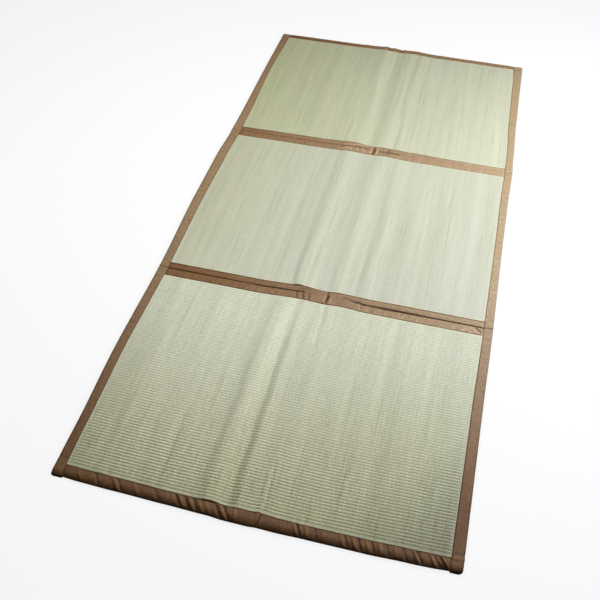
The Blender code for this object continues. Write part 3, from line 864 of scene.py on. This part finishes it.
# Puckers of each strip: start x, start y, end x, end y, half width, height, fade
nearStripFolds = [
    (0.0165, -0.3330, 0.0190, -0.3120, 0.0024, -0.0036, 0.25),
    (0.0190, -0.3180, 0.0165, -0.2980, 0.0020, -0.0024, 0.30),
    (0.0100, -0.3420, 0.0120, -0.3140, 0.0040, 0.0030, 0.25),
    (0.0270, -0.3440, 0.0290, -0.3120, 0.0040, 0.0010, 0.25),
    (0.0960, -0.3080, 0.1150, -0.3150, 0.0018, -0.0016, 0.25),
    (0.0640, -0.3080, 0.0980, -0.3100, 0.0016, -0.0010, 0.25),
    (0.0700, -0.3190, 0.1040, -0.3220, 0.0020, 0.0010, 0.25),
    (0.1080, -0.3160, 0.1090, -0.3300, 0.0012, -0.0014, 0.25),
    (-0.0480, -0.3140, -0.0430, -0.3380, 0.0030, -0.0012, 0.30),
    (-0.0300, -0.3150, -0.0280, -0.3380, 0.0026, -0.0010, 0.30),
    (-0.0640, -0.3170, -0.0600, -0.3380, 0.0026, -0.0011, 0.30),
    (-0.0560, -0.3020, -0.0300, -0.3010, 0.0030, -0.0008, 0.30),
    (0.4060, -0.3190, 0.4190, -0.3330, 0.0020, -0.0016, 0.25),
    (0.3960, -0.3210, 0.4130, -0.3380, 0.0020, 0.0010, 0.25),
]
farStripFolds = [
    (0.0125, 0.3200, 0.0170, 0.3420, 0.0026, -0.0036, 0.25),
    (0.0175, 0.3400, 0.0130, 0.3600, 0.0022, -0.0026, 0.25),
    (0.0060, 0.3200, 0.0080, 0.3580, 0.0032, 0.0012, 0.25),
    (0.0240, 0.3200, 0.0260, 0.3580, 0.0036, 0.0012, 0.25),
    (-0.0800, 0.3400, -0.0100, 0.3450, 0.0016, -0.0026, 0.20),
    (-0.0760, 0.3490, -0.0300, 0.3520, 0.0026, 0.0024, 0.20),
    (-0.0700, 0.3350, -0.0200, 0.3390, 0.0024, 0.0020, 0.20),
    (-0.0660, 0.3530, -0.0150, 0.3560, 0.0030, 0.0011, 0.25),
    (-0.0820, 0.3270, -0.0100, 0.3300, 0.0034, 0.0009, 0.25),
    (-0.0500, 0.3300, -0.0440, 0.3500, 0.0024, -0.0012, 0.30),
    (-0.0300, 0.3300, -0.0320, 0.3500, 0.0022, -0.0011, 0.30),
    (0.0400, 0.3400, 0.0900, 0.3400, 0.0034, -0.0016, 0.25),
    (0.0600, 0.3280, 0.0640, 0.3560, 0.0026, -0.0008, 0.30),
]


def columnsAcross(build, spacing):
    # a strip's or an end binding's columns, from one tucked end to the other
    end = mat["fieldHalfWidth"] + build["tuckReach"]
    return np.arange(-end, end + build["endRoom"], spacing)


def tuckedUnder(x, build):
    # from 0 on the field to 1 where the cloth is tucked under the side binding
    pastSeam = np.abs(x) - mat["fieldHalfWidth"]
    return soften((pastSeam + build["tuckStart"]) / (build["tuckStart"] - build["tuckEnd"]))


def clothPiece(name, points, weave, raised, seamDistance):
    marks = {"raised": raised, "seamDistance": seamDistance}
    piece = gridPiece(name + "_cloth", points, np.stack(weave, axis=-1), marks)
    thickenCloth(piece)
    return piece


def makeStrip(key, seams, fold, slit, folds, seed, gathers):
    build = stripBuild
    low, high = seams[0] + mat["gap"], seams[1] - mat["gap"]
    x = columnsAcross(build, build["spacing"])
    foldLines = np.array(build["besideFold"])
    seamLines = np.array(build["besideSeam"])
    seamRoom, foldRoom = build["lineRoom"]
    y = np.concatenate([
        low + seamLines, np.linspace(low + seamRoom, fold - foldRoom, build["lines"][0]),
        fold - foldLines[:0:-1], fold + foldLines,
        np.linspace(fold + foldRoom, high - seamRoom, build["lines"][1]), (high - seamLines)[::-1],
    ])
    x, y = np.meshgrid(x, y)
    tuck = tuckedUnder(x, build)
    edge = np.minimum(y - low, high - y)
    turnDown, turnRun = build["edgeTurn"]
    level = mat["thickness"] - mat["seamSink"] - tuck * layer - turnDown * np.exp(-edge / turnRun)
    half = np.where(y < fold, (y - low) / (fold - low), (high - y) / (high - fold))
    pad = build["padRise"] * np.sin(math.pi * np.clip(half, 0.0, 1.0))
    depth = readRows(slit, x, 1)
    width = readRows(slit, x, 2)
    share, wide = build["slitShoulder"]
    valley = depth * np.exp(-(np.abs(y - fold) / width) ** build["slitShape"])
    valley = valley + share * depth * np.exp(-((y - fold) / (wide * width)) ** 2)
    loose = foldHeights(x, y, folds)
    for offset, (across, height, (spacing, slant, reach)) in enumerate((
        (y - low, gathers[0], build["nearGather"]), (high - y, gathers[1], build["farGather"]),
    )):
        loose = loose + puckers(x, across, seed + offset, spacing, height, slant, reach)
    loose = (loose + pad) * soften(edge / build["sewnDown"])
    z = level + loose * (1.0 - tuck) - valley * (1.0 - build["tuckedSlit"] * tuck)
    points = layAsItLies(np.stack([x, y, z], axis=-1))
    raised = (loose - pad - valley) / build["raisedUnit"]
    return clothPiece("fold_strip_" + key, points, [x, y - low], raised, edge)


# The bindings round the rim
bindingBuild = {
    "spacing": 0.0034,
    "crownDrop": 0.0002,
    "tuckStart": 0.0042,
    "tuckEnd": 0.0008,
    "tuckReach": 0.012,
    "endRoom": 0.001,            # so that the last column is there
    "tuckDraw": 0.0014,          # how much the tucked end is drawn in, pressed down and lifted
    "drawReach": 0.034,
    "tuckDown": 0.0021,
    "tuckUp": 0.0010,
    "topPoints": 9,
    "topSpread": 1.35,
    "topRise": 0.6,
    "edgeTurn": (0.0009, 0.0010),   # how far the folded edge turns down into the seam, and how soon
    "shoulderPoints": 11,
    "underPoints": 5,
    "returnPoints": 4,
    "looseFrom": (0.004, 0.006),    # the height where folds begin, and how soon they are full
    "sewnDown": 0.004,
    "foldLimits": (-0.0021, 0.0030),
    "endGather": (0.0090, 0.25, 0.020),   # spacing, slant, reach
    "sideGather": (0.0110, 0.20, 0.016),
    "endRun": 0.006,
    "endLap": 0.0001,
    "endWidth": 1.2,
    "raisedUnit": 0.0015,
}
# How the cloth falls to the rim: how far in it starts, its slope (1 is round, 2 straight), and the
# height where it reaches furthest out
slackShoulder = (0.0145, 1.38, 0.0034)
firmShoulder = (0.0068, 1.05, 0.0066)
# Lines across a side binding near its two ends, as shares of how far in each shoulder starts
nearEndLines = (0.0, 0.03, 0.08, 0.16, 0.28, 0.42, 0.60, 0.80)
farEndLines = (0.0, 0.05, 0.13, 0.28, 0.50, 0.75)


def shoulderHeight(inward, shoulder):
    # share of the full height left at a distance in from the rim
    reach, slope, rim = shoulder
    turn = np.radians(np.linspace(0.0, 90.0, 31))
    crown = mat["thickness"]
    level = (rim + (crown - rim) * np.sin(turn) ** slope) / crown
    return np.interp(inward, reach * (1.0 - np.cos(turn) ** slope), level)


def bindingSection(width, shoulder):
    # outer face from the seam over the rim to the edge underneath: (out from the seam, height, girth)
    build = bindingBuild
    crown = mat["thickness"] - build["crownDrop"]
    reach, slope, rim = shoulder
    flat = width - reach
    under = width - mat["rimRound"]
    share = np.linspace(0.0, 1.0, build["topPoints"])
    over = np.radians(np.linspace(90.0, 0.0, build["shoulderPoints"] + 1)[1:])
    below = np.radians(np.linspace(0.0, -90.0, build["underPoints"] + 1)[1:])
    topOut = mat["gap"] + (flat - mat["gap"]) * share ** build["topSpread"]
    out = np.concatenate([
        topOut,
        flat + reach * np.abs(np.cos(over)) ** slope,
        under + mat["rimRound"] * np.cos(below),
        np.linspace(under, mat["gap"], build["returnPoints"] + 1)[1:],
    ])
    seamTop = mat["thickness"] - mat["seamSink"]
    turnDown, turnRun = build["edgeTurn"]
    turned = turnDown * np.exp(-(topOut - mat["gap"]) / turnRun)
    height = np.concatenate([
        seamTop + (crown - seamTop) * share ** build["topRise"] - turned,
        rim + (crown - rim) * np.abs(np.sin(over)) ** slope,
        rim + rim * np.sin(below),
        np.zeros(build["returnPoints"]),
    ])
    step = np.hypot(np.diff(out), np.diff(height))
    return out, height, np.concatenate([[0.0], np.cumsum(step)])


def alongBinding(section, stations):
    # the section repeated at every station: place along, then out, height and girth
    columns = [np.repeat(values[:, None], len(stations), axis=1) for values in section]
    return np.repeat(stations[None, :], len(section[0]), axis=0), *columns


def pushedOut(out, height, amount):
    # moves a section's points along its own outward direction; the underside stays down
    acrossOut = np.gradient(out, axis=0)
    acrossHeight = np.gradient(height, axis=0)
    length = np.hypot(acrossOut, acrossHeight)
    start, run = bindingBuild["looseFrom"]
    amount = amount * np.clip((height - start) / run, 0.0, 1.0)
    return out - amount * acrossHeight / length, height + amount * acrossOut / length


def slantedFolds(rows, lean=1.0, lift=1.6):
    # rows are (place, slant, half width, height); each fold runs from the seam side over the shoulder
    top, bottom, fade = 0.003, 0.030, 0.22
    folds = []
    for place, slant, halfWidth, height in rows:
        folds.append((place, top, place + lean * slant, bottom, halfWidth, lift * height, fade))
    return folds


# place, slant, half width, height
nearBindingFolds = slantedFolds([
    (-0.395, 0.0095, 0.0045, 0.0006), (-0.352, 0.0085, 0.004, -0.0006), (-0.309, 0.0095, 0.003, 0.0009),
    (-0.300, 0.0095, 0.0026, -0.0006), (-0.262, 0.0085, 0.0045, 0.0005), (-0.214, 0.0085, 0.0035, -0.0006),
    (-0.166, 0.0095, 0.0024, -0.0013), (-0.158, 0.0095, 0.0028, 0.0009), (-0.145, 0.0085, 0.0026, -0.0014),
    (-0.134, 0.0085, 0.003, 0.0009), (-0.125, 0.0075, 0.0024, -0.0010), (-0.113, 0.0075, 0.0036, 0.0008),
    (-0.098, 0.0085, 0.004, 0.0006), (-0.076, 0.0095, 0.0022, -0.0013), (-0.066, 0.0105, 0.0026, 0.0010),
    (-0.057, 0.0095, 0.0022, -0.0010), (-0.032, 0.002, 0.0040, 0.0008),
    (0.0245, -0.003, 0.0020, -0.0026), (0.0290, -0.003, 0.0017, 0.0012), (0.0190, -0.003, 0.0026, 0.0008),
    (0.096, 0.007, 0.0026, 0.0010), (0.104, 0.007, 0.0021, -0.0020), (0.110, 0.004, 0.0018, 0.0013),
    (0.123, 0.004, 0.0035, 0.0007), (0.142, 0.004, 0.0030, -0.0008), (0.160, 0.003, 0.0040, 0.0006),
    (0.196, 0.006, 0.0030, 0.0008), (0.205, 0.006, 0.0026, -0.0010), (0.222, 0.006, 0.0030, 0.0012),
    (0.233, 0.006, 0.0028, -0.0012), (0.251, 0.005, 0.0032, 0.0010), (0.262, 0.005, 0.0028, -0.0012),
    (0.277, 0.005, 0.0034, 0.0010), (0.293, 0.004, 0.0030, -0.0008), (0.309, 0.005, 0.0036, 0.0009),
    (0.327, 0.006, 0.0026, -0.0010), (0.349, 0.008, 0.0024, 0.0017), (0.356, 0.008, 0.0022, -0.0018),
    (0.383, 0.008, 0.0026, 0.0013), (0.391, 0.008, 0.0024, -0.0010), (0.407, 0.009, 0.0020, 0.0018),
    (0.402, 0.009, 0.0024, -0.0012),
], lean=2.0, lift=2.0)
farBindingFolds = slantedFolds([
    (-0.340, 0.003, 0.0040, 0.0005), (-0.215, -0.003, 0.0036, -0.0006), (-0.125, 0.003, 0.0040, 0.0006),
    (-0.052, 0.003, 0.0060, 0.0012), (-0.034, 0.002, 0.0026, -0.0012), (-0.018, 0.002, 0.0050, 0.0010),
    (0.0110, 0.001, 0.0026, -0.0024), (0.0190, 0.001, 0.0034, 0.0010), (0.070, 0.003, 0.0050, 0.0006),
    (0.150, -0.004, 0.0036, -0.0006), (0.268, 0.004, 0.0040, 0.0005), (0.360, -0.003, 0.0036, -0.0006),
])
leftBindingFolds = slantedFolds([
    (-0.930, 0.003, 0.0030, -0.0007), (-0.760, 0.003, 0.0040, 0.0004), (-0.520, -0.003, 0.0036, -0.0004),
    (-0.3138, 0.001, 0.0018, -0.0018), (-0.3080, 0.001, 0.0024, 0.0007), (-0.3200, 0.001, 0.0026, 0.0007),
    (-0.120, 0.002, 0.0040, -0.0004), (0.110, 0.002, 0.0040, 0.0004),
    (0.3425, 0.001, 0.0018, -0.0018), (0.3480, 0.001, 0.0026, 0.0007), (0.3370, 0.001, 0.0024, 0.0007),
    (0.560, -0.002, 0.0040, -0.0004), (0.800, 0.003, 0.0040, 0.0004), (0.940, 0.002, 0.0030, -0.0006),
])
rightBindingFolds = slantedFolds([
    (-0.945, 0.004, 0.0026, 0.0008), (-0.936, 0.004, 0.0024, -0.0009), (-0.840, 0.003, 0.0040, -0.0004),
    (-0.600, 0.003, 0.0040, 0.0004), (-0.3138, 0.002, 0.0018, -0.0020), (-0.3070, 0.002, 0.0022, 0.0009),
    (-0.3200, 0.002, 0.0024, 0.0007), (-0.060, -0.003, 0.0040, 0.0004), (0.190, 0.002, 0.0040, -0.0004),
    (0.3425, 0.001, 0.0018, -0.0020), (0.3480, 0.001, 0.0024, 0.0008), (0.3360, 0.001, 0.0024, 0.0007),
    (0.610, 0.003, 0.0040, -0.0004), (0.880, 0.002, 0.0040, 0.0004), (0.945, 0.002, 0.0030, -0.0006),
])


def makeEndBinding(key, seam, rim, shoulder, spacing, folds, seed, height):
    build = bindingBuild
    outward = math.copysign(1.0, rim - seam)
    width = abs(rim - seam)
    stations = columnsAcross(build, spacing)
    x, out, rise, across = alongBinding(bindingSection(width, shoulder), stations)
    pastSeam = np.abs(x) - mat["fieldHalfWidth"]
    tuck = tuckedUnder(x, build)
    gatherSpacing, slant, reach = build["endGather"]
    gathers = puckers(x, across, seed, gatherSpacing, height, slant, reach)
    amount = foldHeights(x, across, folds) + gathers
    amount = np.clip(amount, *build["foldLimits"])
    amount = amount * soften(across / build["sewnDown"]) * (1.0 - tuck)
    out, rise = pushedOut(out, rise, amount)
    drawn = soften((pastSeam + build["drawReach"]) / build["drawReach"])
    out = mat["gap"] + (out - mat["gap"]) * (1.0 - drawn * build["tuckDraw"] / width)
    middle = (mat["thickness"] - build["crownDrop"]) / 2.0
    squeeze = np.where(rise > middle, build["tuckDown"], build["tuckUp"])
    rise = np.maximum(rise - squeeze * tuck * (rise - middle) / middle, 0.0)
    points = layAsItLies(np.stack([x, seam + outward * out, rise], axis=-1))
    return clothPiece("binding_" + key, points, [x, across], amount / build["raisedUnit"], across)


def makeSideBinding(key, side, folds, seed, height, cornerRound):
    build = bindingBuild
    low, high = mat["nearRim"] + build["endLap"], mat["farRim"] - build["endLap"]
    slackReach, firmReach = slackShoulder[0], firmShoulder[0]
    stations = np.concatenate([
        low + slackReach * np.array(nearEndLines),
        np.arange(low + slackReach, high - firmReach, build["spacing"]),
        (high - firmReach * np.array(farEndLines))[::-1],
    ])
    y, out, rise, across = alongBinding(bindingSection(mat["sideBinding"], firmShoulder), stations)
    spacing, slant, reach = build["sideGather"]
    amount = foldHeights(y, across, folds) + puckers(y, across, seed, spacing, height, slant, reach)
    toEnd = np.minimum(y - low, high - y)
    sewn = soften(across / build["sewnDown"]) * soften(toEnd / build["endRun"])
    out, rise = pushedOut(out, rise, amount * sewn)
    # both ends are sewn shut and fall to the rim as the end bindings do, with a rounded corner
    falling = shoulderHeight(y - low, slackShoulder) * shoulderHeight(high - y, firmShoulder)
    rise = np.maximum(rise * falling, 0.0)
    drawn = turnedDown(toEnd, np.where(y < 0.0, cornerRound[0], cornerRound[1]))
    share = np.clip((out - mat["gap"]) / (mat["sideBinding"] - mat["gap"]), 0.0, build["endWidth"])
    out = out - drawn * share ** 2
    points = layAsItLies(np.stack([side * (mat["fieldHalfWidth"] + out), y, rise], axis=-1))
    return clothPiece("binding_" + key, points, [y, across], amount / build["raisedUnit"], across)


print("fold strips and bindings")
clothPieces = {
    "fold_strip_near": makeStrip(
        "near", mat["nearStrip"], mat["nearFold"], nearSlit, nearStripFolds, 21, (0.0020, 0.0006)),
    "fold_strip_far": makeStrip(
        "far", mat["farStrip"], mat["farFold"], farSlit, farStripFolds, 31, (0.0014, 0.0014)),
    "binding_near": makeEndBinding(
        "near", mat["nearSeam"], mat["nearRim"], slackShoulder, 0.0017, nearBindingFolds, 41, 0.0009),
    "binding_far": makeEndBinding(
        "far", mat["farSeam"], mat["farRim"], firmShoulder, 0.0030, farBindingFolds, 43, 0.0006),
    "binding_left": makeSideBinding("left", -1.0, leftBindingFolds, 47, 0.0003, (0.004, 0.004)),
    "binding_right": makeSideBinding("right", 1.0, rightBindingFolds, 53, 0.0003, (0.008, 0.003)),
}
for node, piece in clothPieces.items():
    piece.data.materials.append(makeBindingCloth(node + "_weave", sheenSpans[node]))
    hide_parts(node)
    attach(piece, "root")


stitching = {
    "length": 0.0030,
    "pitch": 0.0042,
    "radius": 0.00028,
    "sides": 6,
    "straight": 0.70,            # share of its length at full thickness; the rest narrows to its two ends
    "endSize": 0.45,
    "lift": 0.35,                # share of its radius that it stands above the cloth
    "fromSeam": 0.0020,
    "clearOfSide": 0.006,        # where the rows start and stop
    "clearOfRim": 0.008,
    "endRow": (0.004, 0.006),
    "dropFrom": 0.05,
}


def oneStitch():
    # a short rounded thread along X
    startClean()
    bpy.ops.mesh.primitive_cylinder_add(
        vertices=stitching["sides"], radius=stitching["radius"],
        depth=stitching["length"] * stitching["straight"], rotation=(0.0, math.radians(90.0), 0.0))
    stitch = bpy.context.object
    bpy.ops.object.transform_apply(location=True, rotation=True, scale=True)
    bpy.ops.object.mode_set(mode="EDIT")
    bpy.ops.mesh.select_all(action="DESELECT")
    bpy.ops.mesh.select_mode(type="FACE")
    bpy.ops.object.mode_set(mode="OBJECT")
    endLength = stitching["length"] * (1.0 - stitching["straight"]) / 2.0
    for side in (-1.0, 1.0):
        for face in stitch.data.polygons:
            face.select = face.normal.x * side > 0.9
        bpy.ops.object.mode_set(mode="EDIT")
        bpy.ops.mesh.extrude_region_move(TRANSFORM_OT_translate={"value": (side * endLength, 0.0, 0.0)})
        bpy.ops.transform.resize(value=(1.0, stitching["endSize"], stitching["endSize"]))
        bpy.ops.mesh.select_all(action="DESELECT")
        bpy.ops.object.mode_set(mode="OBJECT")
    points = np.array([vertex.co[:] for vertex in stitch.data.vertices])
    faces = [tuple(face.vertices) for face in stitch.data.polygons]
    bpy.data.objects.remove(stitch, do_unlink=True)
    return points, faces


def sewRow(name, cloth, starts, ends):
    # lays one stitch on the cloth from each start to its end, given in the straight layout
    tree = BVHTree.FromObject(cloth, bpy.context.evaluated_depsgraph_get())
    points, faces = oneStitch()
    lift = np.array([0.0, 0.0, stitching["radius"] * stitching["lift"]])
    placed, joined = [], []
    for start, end in zip(starts, ends):
        hits = []
        for place in (start, end):
            laid = layAsItLies(np.array([place[0], place[1], 0.0]))
            above = Vector((laid[0], laid[1], stitching["dropFrom"]))
            hits.append(tree.ray_cast(above, Vector((0.0, 0.0, -1.0)))[0])
        if hits[0] is None or hits[1] is None:
            continue
        turn = (hits[1] - hits[0]).to_track_quat("X", "Z").to_matrix()
        middle = (hits[0] + hits[1]) / 2.0
        first = len(placed) * len(points)
        placed.append(points @ np.array(turn).T + np.array(middle) + lift)
        joined.extend(tuple(first + corner for corner in face) for face in faces)
    mesh = bpy.data.meshes.new(name)
    mesh.from_pydata(np.concatenate(placed).tolist(), [], joined)
    mesh.shade_smooth()
    row = bpy.data.objects.new(name, mesh)
    bpy.context.scene.collection.objects.link(row)
    return row


def rowAlong(first, last, fixed, axis):
    # start and end points of the stitches of one straight row
    starts = np.arange(first, last - stitching["length"], stitching["pitch"])
    if axis == "x":
        return [(x, fixed) for x in starts], [(x + stitching["length"], fixed) for x in starts]
    return [(fixed, y) for y in starts], [(fixed, y + stitching["length"]) for y in starts]


print("stitches")
inset = stitching["fromSeam"]
field = mat["fieldHalfWidth"]
across = (-field + stitching["clearOfSide"], field - stitching["clearOfSide"])
lengthwise = (mat["nearRim"] + stitching["clearOfRim"], mat["farRim"] - stitching["clearOfRim"])
seamRows = {
    "binding_near": [rowAlong(*across, mat["nearSeam"] - inset, "x")],
    "binding_far": [rowAlong(*across, mat["farSeam"] + inset, "x")],
    "fold_strip_near": [
        rowAlong(*across, mat["nearStrip"][0] + inset, "x"),
        rowAlong(*across, mat["nearStrip"][1] - inset, "x"),
    ],
    "fold_strip_far": [
        rowAlong(*across, mat["farStrip"][0] + inset, "x"),
        rowAlong(*across, mat["farStrip"][1] - inset, "x"),
    ],
    "binding_left": [rowAlong(*lengthwise, -field - inset, "y")],
    "binding_right": [rowAlong(*lengthwise, field + inset, "y")],
}
# short rows across the side bindings hold their turned-in ends
for node, side in (("binding_left", -1.0), ("binding_right", 1.0)):
    for y in (mat["nearSeam"] - inset, mat["farSeam"] + inset):
        inner, outer = field + stitching["endRow"][0], sideRim - stitching["endRow"][1]
        first, last = sorted((side * inner, side * outer))
        seamRows[node].append(rowAlong(first, last, y, "x"))
for node, rows in seamRows.items():
    starts = [start for row in rows for start in row[0]]
    ends = [end for row in rows for end in row[1]]
    thread = sewRow("stitches_" + node, clothPieces[node], starts, ends)
    along = "Y" if node in ("binding_left", "binding_right") else "X"
    thread.data.materials.append(makeThread(node + "_thread", along, sheenSpans[node]))
    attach(thread, "root")


# A pale floor, four soft lights and the camera
studio = {
    "floorSize": 14.0,
    "floorColour": (0.14, 0.14, 0.14),
    "floorGlow": 0.848,
    "floorRoughness": 0.9,
    "floorShine": 0.1,
    "skyStrength": 0.02,
    "skyFrom": (0.05, 0.60),     # how high above the horizon the even light of the ceiling begins
    "camera": (0.2905, -1.6940, 1.5311),
    "cameraTurn": (42.562, -0.491, 14.453),
    "lens": 47.24,
    "sensor": 36.0,
}
# Each soft light's place, what it is aimed at, its size, power and colour
softLights = {
    "right_softbox": ((1.3, 0.4, 1.0), (0.2, 0.1, 0.0), (0.8, 0.6), 26.6, (0.96, 0.98, 1.08)),
    "left_softbox": ((-0.7, 0.3, 1.5), (-0.1, 0.0, 0.0), (1.0, 0.8), 13.5, (1.0, 1.0, 0.97)),
    "top_softbox": ((0.1, -0.1, 1.3), (0.1, -0.1, 0.0), (1.0, 0.8), 5.0, (1.0, 1.0, 1.0)),
    "back_softbox": ((0.9, 0.9, 1.5), (0.2, 0.0, 0.0), (0.9, 0.6), 4.7, (0.92, 0.97, 1.08)),
}
print("studio")
startClean()
bpy.ops.mesh.primitive_plane_add(size=studio["floorSize"], location=(0.0, 0.0, 0.0))
floor = bpy.context.object
floor.name = "studio_floor"
floorPaper, _, shader = newMaterial("studio_floor_paper")
setInputs(shader, {
    "Base Color": (*studio["floorColour"], 1.0), "Roughness": studio["floorRoughness"],
    "Specular IOR Level": studio["floorShine"], "Emission Color": (1.0, 1.0, 1.0, 1.0),
    "Emission Strength": studio["floorGlow"],
})
floor.data.materials.append(floorPaper)
floor.visible_diffuse = False  # a matt floor that throws no light back up on to the rims
floor.visible_glossy = False

for name, (place, aim, size, power, colour) in softLights.items():
    data = bpy.data.lights.new(name, "AREA")
    data.shape = "RECTANGLE"
    data.size, data.size_y = size
    data.energy = power
    data.color = colour
    light = bpy.data.objects.new(name, data)
    light.location = place
    light.rotation_euler = (Vector(aim) - Vector(place)).to_track_quat("-Z", "Y").to_euler()
    bpy.context.scene.collection.objects.link(light)

world = bpy.data.worlds.new("studio_air")
world.use_nodes = True
air = world.node_tree
direction = air.nodes.new("ShaderNodeTexCoord").outputs["Generated"]
strength = addRamp(air, addAxes(air, direction)["Z"], *studio["skyFrom"], 0.0, studio["skyStrength"])
sky = air.nodes["Background"]
sky.inputs["Color"].default_value = (1.0, 1.0, 1.0, 1.0)
air.links.new(strength, sky.inputs["Strength"])
bpy.context.scene.world = world

camera = bpy.data.objects.new("camera", bpy.data.cameras.new("camera"))
camera.location = studio["camera"]
camera.rotation_euler = [math.radians(angle) for angle in studio["cameraTurn"]]
camera.data.lens = studio["lens"]
camera.data.sensor_width = studio["sensor"]
bpy.context.scene.collection.objects.link(camera)
bpy.context.scene.camera = camera
bpy.context.scene.view_settings.view_transform = "Standard"
